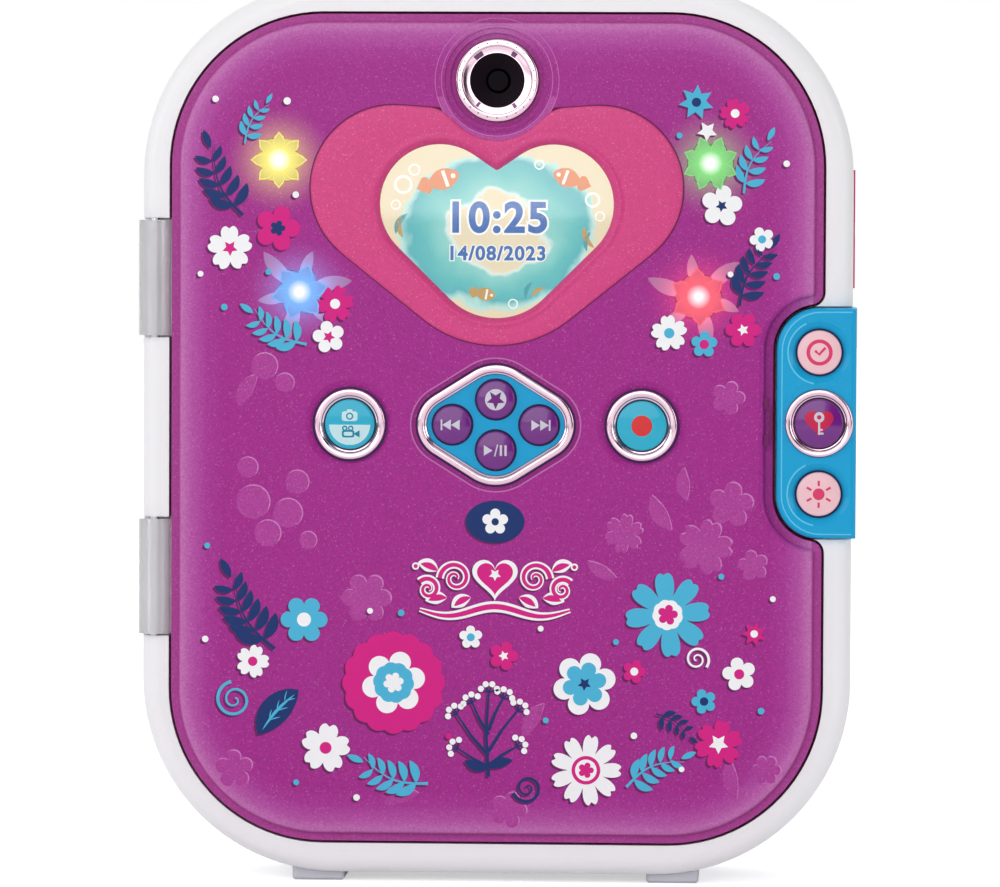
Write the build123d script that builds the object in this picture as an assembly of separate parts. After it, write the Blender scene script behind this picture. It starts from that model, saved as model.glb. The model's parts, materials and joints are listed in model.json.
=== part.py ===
"""Electronic secret diary: a hinged-lid case that stands on two feet.

Frame: X to the right and Z up as seen from the front, Y to the back, origin on the
surface it stands on, under the middle of the case. All lengths are millimetres.
"""
import math
import os

from build123d import *

# ---------------------------------------------------------------- case
BODY_WIDTH = 193.6
BODY_HEIGHT = 243.4
BODY_CORNER_R = 53.0
CASE_DEPTH = 53.4            # front of the white frame to the rear face
FRONT_PROUD = 5.0            # key button in front of the white frame
FRONT_EDGE_R = 5.0
REAR_EDGE_R = 7.0
CASE_WALL = 2.4
REAR_SHELL_DEPTH = 19.2      # rear face to the parting line
SKIRT_T = 2.0                # wall round the lid's opening
FOOT_HEIGHT = 2.4
FOOT_WIDTH = 14.3
FOOT_LENGTH = 44.0
FOOT_PITCH = 97.0
FOOT_EDGE_R = 1.2

# ---------------------------------------------------------------- lid
FRAME_SIDE_W = 8.2            # white frame beside the lid
FRAME_END_W = 9.05            # white frame above and below the lid
LID_CORNER_R = 41.5
LID_GAP = 0.7                # lid edge to the opening in the frame
FLANGE_W = 2.2               # thin rim round the raised face
FLANGE_T = 2.0
LID_RISE = 2.6               # raised face in front of the rim
LID_WALL = 2.2
LID_EDGE_R = 1.6
LID_DEPTH = 14.6             # front of the rim to the back of the inner panel
TUB_INSET = 1.6              # inner panel inside the rim's outline
TUB_WALL = 2.0
TUB_EDGE_R = 1.4

# ---------------------------------------------------------------- hinge
PIN_OFFSET = 4.8             # pin axis outside the lid's left edge
PIN_DEPTH = 2.2              # pin axis behind the front of the frame
PIN_R = 1.2
PIN_BITE = 8.0               # length of pin held at each end
KNUCKLE_R = 4.4
KNUCKLE_HEIGHT = 31.4
KNUCKLE_INSET = (71.95, 71.85)  # lower and upper knuckle from the lid's ends
KNUCKLE_GAP = 0.6            # above, below and behind each knuckle
LEAF_LENGTH = 15.0           # leaf of the knuckle, from the pin into the lid
LEAF_T = 4.0
PIN_RUNNING_FIT = 0.08
RAIL_DEPTH = 7.0             # solid strip behind the pin axis
RAIL_MARGIN = 24.25           # solid strip past the middle of each knuckle

# ---------------------------------------------------------------- latch
NOTCH_REACH = 13.4            # depth of the notch in the lid's right edge
NOTCH_DROP = 119.5            # middle of the notch below the top of the case
NOTCH_HEIGHT = 64.6
NOTCH_R = 12.5
NOTCH_ENTRY_R = 3.3
HOUSING_GAP = 1.0            # latch housing to the lid
HOUSING_PROUD_FRONT = 3.2    # in front of the white frame
HOUSING_PROUD_SIDE = 1.0     # outside the side wall
HOUSING_WALL = 2.2
HOUSING_EDGE_R = 1.4
HOUSING_FIT = 0.35           # housing to the cut in the frame
TONGUE_LENGTH = 11.0         # blue tongue along the side wall
SHELF_T = 2.0
LATCH_BUTTON_INSET = 9.1      # from the side wall
LATCH_BUTTON_PITCH = 19.2
LATCH_BUTTON_R = 5.95
DISH_R = 8.4
DISH_DEPTH = 1.3
KEY_BUTTON_R = 6.6
KEY_RING_R = 9.2
KEY_RING_SEAT = 1.2
BOLT_HEIGHT = 11.0
BOLT_THICK = 4.0
BOLT_LENGTH = 15.0
BOLT_TRAVEL = 5.5
BOLT_RISE = 0.4               # bolt above the middle of the notch
BOLT_DEPTH = 7.6             # front of the bolt behind the front of the frame
BOLT_FIT = 0.3
RACK_MODULE = 0.6
RACK_BACKLASH = 0.16
PINION_TEETH = 10
PINION_INSET = 11.4           # from the side wall
MOTOR_R = 6.0
MOTOR_LENGTH = 11.0
KEEPER_T = 1.0
KEEPER_MARGIN = 3.4

# ---------------------------------------------------------------- buttons
BUTTON_TRAVEL = 0.8
BUTTON_GAP = 0.25            # round each cap
COLLAR_W = 0.9
COLLAR_T = 0.8
COLLAR_PLAY = 0.1
STEM_R = 1.6
STEM_END = 1.1               # panel's back to the stem's end
SWITCH_SIZE = 6.0
SWITCH_T = 3.0
SWITCH_NUB_R = 1.7
SWITCH_NUB_T = 0.7
SWITCH_PLAY = 0.12           # stem to switch with the button fully in
BOARD_T = 1.2
CAP_EDGE_R = 0.7

# ---------------------------------------------------------------- display and heart
HEART_PROUD = 0.5
HEART_EDGE_R = 0.4
HEART_POCKET = 1.2
HEART_FIT = 0.15
HEART_LOBE_X = 28.1
HEART_LOBE_DROP = 56.3        # below the top of the case
HEART_LOBE_R = 22.5
HEART_TIP_DROP = 98.8         # lowest point
HEART_TIP_R = 31.5
HEART_SHOULDER_X = 13.0
HEART_SHOULDER_DROP = 46.3
HEART_SHOULDER_R = 9.6
HEART_CAMERA_LAND = 1.0                # between the heart and the camera's recess
WINDOW_LOBE_X = 15.5
WINDOW_LOBE_DROP = 60.6
WINDOW_LOBE_R = 16.2
WINDOW_TIP_DROP = 91.4
WINDOW_TIP_R = 18.0
WINDOW_DIP_R = 3.0
WINDOW_MARGIN = 1.2                    # clear window past the bezel's opening
WINDOW_FIT = 0.2
DISPLAY_SIZE = (72.0, 54.0, 3.2)

# ---------------------------------------------------------------- camera
CAMERA_DROP = 27.0
CAMERA_RECESS_R = 14.3
CAMERA_RECESS_DEPTH = 0.9
CAMERA_STEP_R = 12.8
CAMERA_STEP_DEPTH = 2.0
CAMERA_RING_R = 11.3
CAMERA_RING_SINK = 0.5       # ring behind the lid's raised face
CAMERA_WELL_R = 7.3
CAMERA_WELL_DEPTH = 6.5
CAMERA_WELL_STEPS = 6
CAMERA_BARREL_WALL = 0.6
CAMERA_LENS_R = 3.4
CAMERA_LENS_T = 1.6
CAMERA_BOSS_T = 2.0          # thickening behind the cover
CAMERA_SENSOR_SIZE = 11.0
CAMERA_SENSOR_T = 3.0

# ---------------------------------------------------------------- button groups on the lid
NAV_DROP = 120.5
NAV_SIDE = (12.05, 9.35)     # X and radius of the side tips
NAV_TOP = (4.65, 11.8)       # Z and radius of the top and bottom
NAV_BEZEL_W = 2.75
NAV_GROOVE_W = 1.9
NAV_GROOVE_DEPTH = 0.5
NAV_POCKET = 1.2
NAV_LEDGE = 1.4
NAV_PLATE_T = 2.2
NAV_FLANGE_W = 1.5
NAV_BUTTON_R = 5.2
NAV_BUTTON_X = 11.8
NAV_BUTTON_RISE = 6.9
NAV_BEZEL_PROUD = 0.3
SIDE_BUTTON_X = 39.7
SIDE_RECESS_R = 12.2
SIDE_RECESS_DEPTH = 1.0
SIDE_RING_R = 9.7
SIDE_RING_SEAT = 1.0
SIDE_BUTTON_R = 6.75
SIDE_BOSS_T = 1.2
RING_FIT = 0.1
LID_CAP_PROUD = 0.5

# ---------------------------------------------------------------- lights
FLOWER_PLACES = ((-59.2, 48.8), (-53.5, 84.6), (57.9, 49.3), (54.9, 85.4))   # X and depth below the top
FLOWER_PETALS = 6
FLOWER_PETAL_R = 2.3
FLOWER_REACH = 3.9           # petal centres from the flower's centre
FLOWER_FIT = 0.15
LED_R = 2.5
LED_T = 3.8
LED_STRIP_W = 9.0
LED_STRIP_OVERHANG = 9.0
LED_POST_R = 2.0

# ---------------------------------------------------------------- boards, posts and screws
MAIN_BOARD_HEIGHT = 50.0
MAIN_BOARD_GAP = 8.6          # to the keeper
BOARD_POST_R = 2.6
BOARD_POST_INSET = 5.0
MICROPHONE_R = 3.0
MICROPHONE_T = 2.6
SCREW_R = 1.3
SCREW_HEAD_R = 2.7
SCREW_HEAD_T = 1.2
SCREW_LENGTH = 10.0
LID_BOSS_R = 3.5
LID_SCREW_LOW = (14.6, 36.55)      # in from the side and up from the end of the lid
LID_SCREW_MIDDLE = (12.6, 112.75)
LID_SCREW_SIDE = (12.6, 58.75)     # in from the side and down from the top end
LID_SCREW_HIGH = (24.6, 23.75)
CASE_SCREW_LOW = (20.8, 63.6)      # in from the side wall and up from the bottom
CASE_SCREW_LEFT = (18.8, 57.8)     # in from the side wall and down from the top
CASE_SCREW_RIGHT = (20.8, 35.8)
CASE_SCREW_ENDS = (14.8, 11.6)     # down from the top and up from the bottom
CASE_BOSS_R = 3.4
CASE_TUBE_R = 4.6
CASE_TUBE_SEAT = 2.0         # material under the head

# ---------------------------------------------------------------- tray, notepad and pen
TRAY_GAP = 0.6               # lid's inner panel to the tray
TRAY_WALL = 1.8
TRAY_PLATE_T = 2.0
NOTEPAD = (92.0, 134.0, 8.4)
NOTEPAD_CARD_T = 0.8
NOTEPAD_X = -18.0
NOTEPAD_DROP = 94.8
NOTEPAD_PLAY = 3.0           # all round in its bay
NOTEPAD_BAY_DEPTH = 13.0
PEN_X = 50.5
PEN_R = 4.3
PEN_TAPER_R = 3.4            # at the foot of the nib
PEN_LENGTH = 124.0
PEN_CAP_LENGTH = 42.0
PEN_CAP_R = 5.0
PEN_BAY_WIDTH = 13.0
PEN_BAY_DEPTH = 15.0
PEN_END_PLAY = 7.0            # above and below the pen
STORAGE_WIDTH = 124.0
STORAGE_DEPTH = 31.0
STORAGE_RISE = 20.6           # above the bottom of the case
STORAGE_GAP = 8.0             # below the notepad's bay
BAY_CORNER_R = 4.0
SEAT_PLAY = 0.3

# ---------------------------------------------------------------- batteries, speaker and ports
CELL_R = 7.1
CELL_LENGTH = 49.2
CELL_NUB_R = 2.75
CELL_NUB_T = 1.3
CELL_PITCH = 14.7
CELL_COUNT = 4
CELL_END_ROOM = 4.4          # for a spring or a plate at each end
SPRING_R = 3.4
CONTACT_T = 0.5
CONTACT_SIZE = 10.0
BATTERY_DROP = 105.8
BATTERY_X = -18.0
BATTERY_DEPTH = 15.8
BATTERY_WALL = 1.8
DOOR_T = 2.2
DOOR_LEDGE = 4.0
DOOR_EAR = 9.0               # screw ear above and below the cells
DOOR_GAP = 0.3
DOOR_R = 4.0
SPEAKER_X = -18.0
SPEAKER_DROP = 40.8
SPEAKER_R = 18.0
SPEAKER_T = 5.0
SPEAKER_RING_T = 1.6
SPEAKER_MAGNET_R = 9.9
SPEAKER_EDGE_R = 15.8            # inside of the frame
SPEAKER_CONE_R = 7.2             # foot of the cone
GRILLE_SLOTS = 7
GRILLE_PITCH = 4.2
GRILLE_SLOT_W = 1.8
PORT_DROP = 66.9
PORT_FLAP = (32.4, 12.4, 1.6)    # along Z, along Y, thick
PORT_FLAP_Y = 2.0
PORT_FLAP_SINK = 1.0
PORT_FLAP_GAP = 0.2
PORT_NOTCH = (3.7, 2.2)
PORT_BOARD = (16.0, 31.0)
USB_SOCKET = (9.0, 8.0, 3.6)     # X, Z, Y
CARD_SOCKET = (9.6, 12.4, 2.0)
USB_OFFSET = -7.0
CARD_OFFSET = 7.0

# ---------------------------------------------------------------- places worked out from the sizes
REAR_Y = (CASE_DEPTH + FRONT_PROUD) / 2
FRAME_Y = REAR_Y - CASE_DEPTH
SPLIT_Y = REAR_Y - REAR_SHELL_DEPTH
BODY_Z = FOOT_HEIGHT + BODY_HEIGHT / 2
TOP_Z = FOOT_HEIGHT + BODY_HEIGHT
LID_WIDTH = BODY_WIDTH - 2 * FRAME_SIDE_W
LID_HEIGHT = BODY_HEIGHT - 2 * FRAME_END_W
LID_LOW_Z = BODY_Z - LID_HEIGHT / 2
LID_TOP_Z = BODY_Z + LID_HEIGHT / 2
LID_SIDE_X = LID_WIDTH / 2
RIM_BACK_Y = FRAME_Y + FLANGE_T
FACE_Y = FRAME_Y - LID_RISE
COVER_BACK_Y = FACE_Y + LID_WALL
LID_BACK_Y = FRAME_Y + LID_DEPTH
TUB_FLOOR_Y = LID_BACK_Y - TUB_WALL
TRAY_Y = LID_BACK_Y + TRAY_GAP
TRAY_BACK_Y = TRAY_Y + TRAY_PLATE_T
PIN_X = -LID_WIDTH / 2 - PIN_OFFSET
PIN_Y = FRAME_Y + PIN_DEPTH
SIDE_X = BODY_WIDTH / 2
HOUSING_OUT_X = SIDE_X + HOUSING_PROUD_SIDE
KNUCKLE_Z = (LID_LOW_Z + KNUCKLE_INSET[0], LID_TOP_Z - KNUCKLE_INSET[1])
RAIL_HEIGHT = KNUCKLE_Z[1] - KNUCKLE_Z[0] + 2 * RAIL_MARGIN
NOTCH_X = LID_SIDE_X - NOTCH_REACH
NOTCH_Z = TOP_Z - NOTCH_DROP
LATCH_BUTTON_X = SIDE_X - LATCH_BUTTON_INSET
PINION_X = SIDE_X - PINION_INSET
BOLT_Z = NOTCH_Z + BOLT_RISE
MAIN_BOARD = (2 * (NOTCH_X - TUB_INSET - TUB_WALL - KEEPER_T - MAIN_BOARD_GAP), MAIN_BOARD_HEIGHT)
HEART_LOBE = (HEART_LOBE_X, TOP_Z - HEART_LOBE_DROP, HEART_LOBE_R)
HEART_TIP = (TOP_Z - HEART_TIP_DROP, HEART_TIP_R)
HEART_SHOULDER = (HEART_SHOULDER_X, TOP_Z - HEART_SHOULDER_DROP, HEART_SHOULDER_R)
WINDOW_LOBE = (WINDOW_LOBE_X, TOP_Z - WINDOW_LOBE_DROP, WINDOW_LOBE_R)
WINDOW_TIP = (TOP_Z - WINDOW_TIP_DROP, WINDOW_TIP_R)
CAMERA_Z = TOP_Z - CAMERA_DROP
NAV_Z = TOP_Z - NAV_DROP
FLOWER_LIGHTS = [(x, TOP_Z - drop) for x, drop in FLOWER_PLACES]
LID_SCREWS = (
    (LID_SCREW_LOW[0] - LID_SIDE_X, LID_LOW_Z + LID_SCREW_LOW[1]),
    (LID_SIDE_X - LID_SCREW_LOW[0], LID_LOW_Z + LID_SCREW_LOW[1]),
    (LID_SCREW_MIDDLE[0] - LID_SIDE_X, LID_TOP_Z - LID_SCREW_MIDDLE[1]),
    (LID_SIDE_X - LID_SCREW_SIDE[0], LID_TOP_Z - LID_SCREW_SIDE[1]),
    (LID_SCREW_HIGH[0] - LID_SIDE_X, LID_TOP_Z - LID_SCREW_HIGH[1]),
    (LID_SIDE_X - LID_SCREW_HIGH[0], LID_TOP_Z - LID_SCREW_HIGH[1]))
CASE_SCREWS = (
    (CASE_SCREW_LOW[0] - SIDE_X, FOOT_HEIGHT + CASE_SCREW_LOW[1]),
    (SIDE_X - CASE_SCREW_LOW[0], FOOT_HEIGHT + CASE_SCREW_LOW[1]),
    (CASE_SCREW_LEFT[0] - SIDE_X, TOP_Z - CASE_SCREW_LEFT[1]),
    (SIDE_X - CASE_SCREW_RIGHT[0], TOP_Z - CASE_SCREW_RIGHT[1]),
    (0.0, TOP_Z - CASE_SCREW_ENDS[0]),
    (0.0, FOOT_HEIGHT + CASE_SCREW_ENDS[1]))
NOTEPAD_Z = TOP_Z - NOTEPAD_DROP
PEN_Z = NOTEPAD_Z
PEN_BAY = (PEN_BAY_WIDTH, PEN_LENGTH + 2 * PEN_END_PLAY, PEN_BAY_DEPTH)
STORAGE_LOW_Z = FOOT_HEIGHT + STORAGE_RISE
STORAGE_TOP_Z = NOTEPAD_Z - NOTEPAD[1] / 2 - NOTEPAD_PLAY - STORAGE_GAP
STORAGE_Z = (STORAGE_LOW_Z + STORAGE_TOP_Z) / 2
STORAGE_BAY = (STORAGE_WIDTH, STORAGE_TOP_Z - STORAGE_LOW_Z, STORAGE_DEPTH)
BATTERY_Z = TOP_Z - BATTERY_DROP
SPEAKER_Z = TOP_Z - SPEAKER_DROP
PORT_Z = TOP_Z - PORT_DROP
HOUSING_FRONT_Y = FRAME_Y - HOUSING_PROUD_FRONT
HOUSING_BACK_Y = TRAY_Y - SHELF_T
HOUSING_PANEL_Y = HOUSING_FRONT_Y + HOUSING_WALL
BOLT_Y = FRAME_Y + BOLT_DEPTH
DISPLAY_Z = CAMERA_Z - CAMERA_RECESS_R - HEART_CAMERA_LAND - SEAT_PLAY - DISPLAY_SIZE[1] / 2
NAV_PANEL_Y = COVER_BACK_Y + NAV_PLATE_T - (LID_WALL - NAV_POCKET)
LID_SWITCH_Y = NAV_PANEL_Y + STEM_END + BUTTON_TRAVEL + SWITCH_PLAY
LID_BOARD_Y = LID_SWITCH_Y + SWITCH_NUB_T + SWITCH_T
LATCH_SWITCH_Y = HOUSING_PANEL_Y + STEM_END + BUTTON_TRAVEL + SWITCH_PLAY
LATCH_BOARD_Y = LATCH_SWITCH_Y + SWITCH_NUB_T + SWITCH_T
BATTERY_BACK_Y = REAR_Y - CASE_WALL
BATTERY_FRONT_Y = BATTERY_BACK_Y - BATTERY_DEPTH


# ---------------------------------------------------------------- helpers
def slab(outline, front_y, back_y):
    """Carry an outline drawn in X and Z from one depth to another."""
    return extrude(Plane.XZ.offset(-back_y) * outline, amount=back_y - front_y)


def disc(x, z, radius, front_y, back_y):
    """Round bar along Y."""
    return slab(Pos(x, z) * Circle(radius), front_y, back_y)


def block(x, y, z):
    """Box between two corners, each given as (low, high) along an axis."""
    low = (x[0], y[0], z[0])
    size = (x[1] - x[0], y[1] - y[0], z[1] - z[0])
    return Pos(*low) * Box(*size, align=(Align.MIN, Align.MIN, Align.MIN))


def turned(profile, x, z):
    """Solid of revolution about a line along Y; the profile is (radius, y) points."""
    face = make_face(Plane.XY * Polyline(*profile, close=True))
    return Pos(x, 0, z) * revolve(face, Axis.Y)


def hull_of(circles):
    """Tight band round circles given as (x, z, radius)."""
    edges = []
    for x, z, radius in circles:
        edges += (Pos(x, z) * Circle(radius)).edges()
    return make_hull(edges)


def front_edges(solid):
    """Edges of the foremost face's outline."""
    return solid.faces().sort_by(Axis.Y)[0].outer_wire().edges()


def body_outline(inset):
    return Pos(0, BODY_Z) * RectangleRounded(
        BODY_WIDTH - 2 * inset, BODY_HEIGHT - 2 * inset, BODY_CORNER_R - inset)


def case_block(inset):
    """The case as one rounded block, inset all round by a wall."""
    solid = slab(body_outline(inset), FRAME_Y + inset, REAR_Y - inset)
    solid = fillet(front_edges(solid), FRONT_EDGE_R - inset)
    rear = solid.faces().sort_by(Axis.Y)[-1].outer_wire().edges()
    return fillet(rear, REAR_EDGE_R - inset)


def notch_outline(inset):
    """The notch in the lid's right side, grown by the same inset that shrinks the lid."""
    reach = LID_WIDTH / 2 - NOTCH_X + inset
    return Pos(LID_WIDTH / 2, NOTCH_Z) * RectangleRounded(
        2 * reach, NOTCH_HEIGHT + 2 * inset, NOTCH_R + inset)


def notch_mouth(inset):
    """Where the notch runs out through the lid's right edge: (region, rounded corners)."""
    edge_x = LID_WIDTH / 2
    corner_x = edge_x - NOTCH_ENTRY_R
    arc_x = NOTCH_X + NOTCH_R
    rise = math.sqrt((NOTCH_R + NOTCH_ENTRY_R) ** 2 - (corner_x - arc_x) ** 2)
    region = []
    corners = []
    for side in (-1, 1):
        arc_z = NOTCH_Z + side * (NOTCH_HEIGHT / 2 - NOTCH_R)
        corner_z = arc_z + side * rise
        outside_x = edge_x + NOTCH_R
        region.append(make_face(Polyline(
            (arc_x, arc_z), (corner_x, corner_z), (outside_x, corner_z), (outside_x, arc_z), close=True)))
        corners.append(Pos(corner_x, corner_z) * Circle(NOTCH_ENTRY_R - inset))
    return region, corners


def lid_outline(inset):
    """Outline of the lid with its notch; a negative inset gives the frame's opening."""
    plate = Pos(0, BODY_Z) * RectangleRounded(
        LID_WIDTH - 2 * inset, LID_HEIGHT - 2 * inset, LID_CORNER_R - inset)
    plate -= notch_outline(inset)
    if inset < NOTCH_ENTRY_R:
        region, corners = notch_mouth(inset)
        plate = plate - region + corners
    return plate


def housing_outline(inset):
    """Outline of the latch housing: round to the lid, square at the side wall."""
    left = NOTCH_X + HOUSING_GAP + inset
    height = NOTCH_HEIGHT - 2 * HOUSING_GAP - 2 * inset
    right = HOUSING_OUT_X - inset
    shape = Pos(right, NOTCH_Z) * RectangleRounded(
        2 * (right - left), height, NOTCH_R - HOUSING_GAP - inset)
    return shape - Pos(right + BODY_WIDTH / 2, NOTCH_Z) * Rectangle(BODY_WIDTH, 2 * height)


def heart(lobe, tip, grow):
    """Heart of two lobes and a round tip, grown by an amount all round."""
    x, z, radius = lobe
    tip_z, tip_r = tip
    foot = (0, tip_z + tip_r, tip_r + grow)
    return hull_of([(x, z, radius + grow), foot]) + hull_of([(-x, z, radius + grow), foot])


def heart_outline(grow):
    """The pink heart: it bows round the camera's recess."""
    shape = heart(HEART_LOBE, HEART_TIP, grow)
    x, z, radius = HEART_SHOULDER
    lobe_x, lobe_z, lobe_r = HEART_LOBE
    for side in (-1, 1):
        shape += hull_of([(side * x, z, radius + grow), (side * lobe_x, lobe_z, lobe_r + grow)])
    shape -= Pos(0, CAMERA_Z) * Circle(CAMERA_RECESS_R + HEART_CAMERA_LAND - grow)
    return shape


def window_outline(grow):
    """The heart-shaped display window."""
    shape = heart(WINDOW_LOBE, WINDOW_TIP, grow)
    dip = shape.vertices().sort_by(lambda v: abs(v.X) - v.Y)[0]
    return fillet(dip, WINDOW_DIP_R)


def nav_outline(inset):
    """Rounded rhombus of the four-button pad."""
    side_x, side_r = NAV_SIDE
    top_z, top_r = NAV_TOP
    return hull_of([
        (side_x, NAV_Z, side_r - inset), (-side_x, NAV_Z, side_r - inset),
        (0, NAV_Z + top_z, top_r - inset), (0, NAV_Z - top_z, top_r - inset)])


def flower_outline(x, z, grow):
    """Round petals about a centre."""
    shape = Pos(x, z) * Circle(FLOWER_REACH + grow)
    for petal in range(FLOWER_PETALS):
        turn = 2 * math.pi * petal / FLOWER_PETALS
        place = Pos(x + FLOWER_REACH * math.cos(turn), z + FLOWER_REACH * math.sin(turn))
        shape += place * Circle(FLOWER_PETAL_R + grow)
    return shape


def push_button(x, z, cap_r, front_y, panel_back_y):
    """A cap, the collar behind its panel and the stem above the switch."""
    collar_y = panel_back_y + COLLAR_PLAY
    stem_y = panel_back_y + STEM_END
    profile = [
        (0, front_y), (cap_r, front_y), (cap_r, collar_y), (cap_r + COLLAR_W, collar_y),
        (cap_r + COLLAR_W, collar_y + COLLAR_T), (STEM_R, collar_y + COLLAR_T),
        (STEM_R, stem_y), (0, stem_y)]
    solid = turned(profile, x, z)
    return fillet(front_edges(solid), CAP_EDGE_R)


def tact_switch(x, z, nub_y):
    """A square switch whose round nub faces the button."""
    half = SWITCH_SIZE / 2
    body_y = nub_y + SWITCH_NUB_T
    solid = block((x - half, x + half), (body_y, body_y + SWITCH_T), (z - half, z + half))
    return solid + disc(x, z, SWITCH_NUB_R, nub_y, body_y)


def ring(x, z, outer_r, inner_r, front_y, back_y, edge_r):
    """A chromed ring with a rounded front."""
    solid = disc(x, z, outer_r, front_y, back_y) - disc(x, z, inner_r, front_y, back_y)
    edges = solid.edges().filter_by(GeomType.CIRCLE).group_by(Axis.Y)[0]
    return fillet(edges, edge_r)


def screw(x, z, head_y, length, toward):
    """A pan-head screw along Y; toward is -1 when it points to the front."""
    ends = sorted((head_y, head_y + toward * SCREW_HEAD_T))
    head = disc(x, z, SCREW_HEAD_R, *ends)
    start = head_y + toward * SCREW_HEAD_T
    shank = disc(x, z, SCREW_R, *sorted((start, start + toward * length)))
    return head + shank


# ---------------------------------------------------------------- case
def make_front_frame():
    """White frame: outer wall, front lip and the skirt round the lid's opening."""
    shell = case_block(0) - case_block(CASE_WALL)
    shell -= block((-BODY_WIDTH, BODY_WIDTH), (SPLIT_Y, REAR_Y + CASE_WALL), (-CASE_WALL, 2 * BODY_HEIGHT))
    opening = lid_outline(-LID_GAP)
    shell -= slab(opening, FRAME_Y - CASE_WALL, FRAME_Y + 2 * CASE_WALL)
    skirt = lid_outline(-LID_GAP - SKIRT_T) - opening
    shell += slab(skirt, FRAME_Y + CASE_WALL / 2, TRAY_Y)
    shell += hinge_rail()
    shell -= slab(housing_outline(-HOUSING_FIT), HOUSING_FRONT_Y, HOUSING_BACK_Y)
    shell += latch_shelf()
    for z in KNUCKLE_Z:
        shell -= knuckle_room(z)
        shell -= pin_bore(z)
    shell -= port_recess()
    return shell


def hinge_rail():
    """Solid strip between the wall and the skirt that holds the hinge pins."""
    half = RAIL_HEIGHT / 2
    middle = sum(KNUCKLE_Z) / 2
    wall_x = -SIDE_X + CASE_WALL - SEAT_PLAY
    skirt_x = -LID_WIDTH / 2 - LID_GAP - SEAT_PLAY
    return block((wall_x, skirt_x), (RIM_BACK_Y, PIN_Y + RAIL_DEPTH), (middle - half, middle + half))


def knuckle_room(z):
    """Room for one clear knuckle, open to the front, the side and the lid."""
    half = KNUCKLE_HEIGHT / 2 + KNUCKLE_GAP
    inner_x = -LID_WIDTH / 2
    back_y = PIN_Y + KNUCKLE_R + KNUCKLE_GAP
    return block((-BODY_WIDTH, inner_x), (FACE_Y, back_y), (z - half, z + half))


def pin_bore(z):
    half = KNUCKLE_HEIGHT / 2 + PIN_BITE
    return Pos(PIN_X, PIN_Y, z) * Cylinder(PIN_R, 2 * half)


def latch_shelf():
    """Plate under the latch housing, with the motor's hole."""
    outline = notch_outline(-LID_GAP) & body_outline(CASE_WALL / 2)
    shelf = slab(outline, HOUSING_BACK_Y, TRAY_Y)
    return shelf - disc(PINION_X, pinion_z(), MOTOR_R + BOLT_FIT, HOUSING_BACK_Y, TRAY_Y)


def port_recess():
    """Shallow seat for the rubber flap and the two socket openings behind it."""
    length, width, _ = PORT_FLAP
    half_z = length / 2 + PORT_FLAP_GAP
    half_y = width / 2 + PORT_FLAP_GAP
    seat = block((SIDE_X - PORT_FLAP_SINK, SIDE_X + CASE_WALL),
                 (PORT_FLAP_Y - half_y, PORT_FLAP_Y + half_y), (PORT_Z - half_z, PORT_Z + half_z))
    for size, offset in ((USB_SOCKET, USB_OFFSET), (CARD_SOCKET, CARD_OFFSET)):
        seat += socket_block(size, offset, PORT_FLAP_GAP, SIDE_X)
    return seat


def socket_block(size, offset, grow, outer_x):
    """A socket on the front of the port board, from inside to the given X."""
    reach, height, thick = size
    board_y = port_board_y()
    middle = PORT_Z + offset
    inner_x = SIDE_X - CASE_WALL - reach
    return block((inner_x - grow, outer_x), (board_y - thick - grow, board_y + grow / 2),
                 (middle - height / 2 - grow, middle + height / 2 + grow))


def port_board_y():
    return PORT_FLAP_Y + USB_SOCKET[2] / 2


def make_rear_shell():
    """White rear shell with the battery box, screw tubes and the speaker's seat."""
    shell = case_block(0) - case_block(CASE_WALL)
    shell -= block((-BODY_WIDTH, BODY_WIDTH), (-BODY_WIDTH, SPLIT_Y), (-CASE_WALL, 2 * BODY_HEIGHT))
    for x, z in CASE_SCREWS:
        shell += disc(x, z, CASE_TUBE_R, SPLIT_Y, REAR_Y - CASE_WALL / 2)
        shell -= disc(x, z, SCREW_HEAD_R + SEAT_PLAY, SPLIT_Y + CASE_TUBE_SEAT, REAR_Y)
        shell -= disc(x, z, SCREW_R + SEAT_PLAY, SPLIT_Y, SPLIT_Y + CASE_TUBE_SEAT)
    shell += battery_box()
    shell -= battery_room()
    shell += disc(SPEAKER_X, SPEAKER_Z, SPEAKER_R + TRAY_WALL, speaker_front(), REAR_Y - CASE_WALL / 2)
    shell -= disc(SPEAKER_X, SPEAKER_Z, SPEAKER_R + SEAT_PLAY / 2, speaker_front(), REAR_Y - CASE_WALL)
    shell -= speaker_grille()
    return shell


def speaker_front():
    return REAR_Y - CASE_WALL - SPEAKER_T


def speaker_grille():
    """Slots across the rear wall, shorter towards the rim."""
    slots = None
    for index in range(GRILLE_SLOTS):
        rise = (index - (GRILLE_SLOTS - 1) / 2) * GRILLE_PITCH
        length = 2 * math.sqrt((SPEAKER_R - CASE_WALL) ** 2 - rise ** 2)
        slot = Pos(SPEAKER_X, SPEAKER_Z + rise) * SlotOverall(length, GRILLE_SLOT_W)
        slots = slot if slots is None else slots + slot
    return slab(slots, REAR_Y - 2 * CASE_WALL, REAR_Y + CASE_WALL)


def battery_bay():
    """Width and height of the space for the cells."""
    return CELL_LENGTH + CELL_NUB_T + 2 * CELL_END_ROOM, CELL_COUNT * CELL_PITCH


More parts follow.
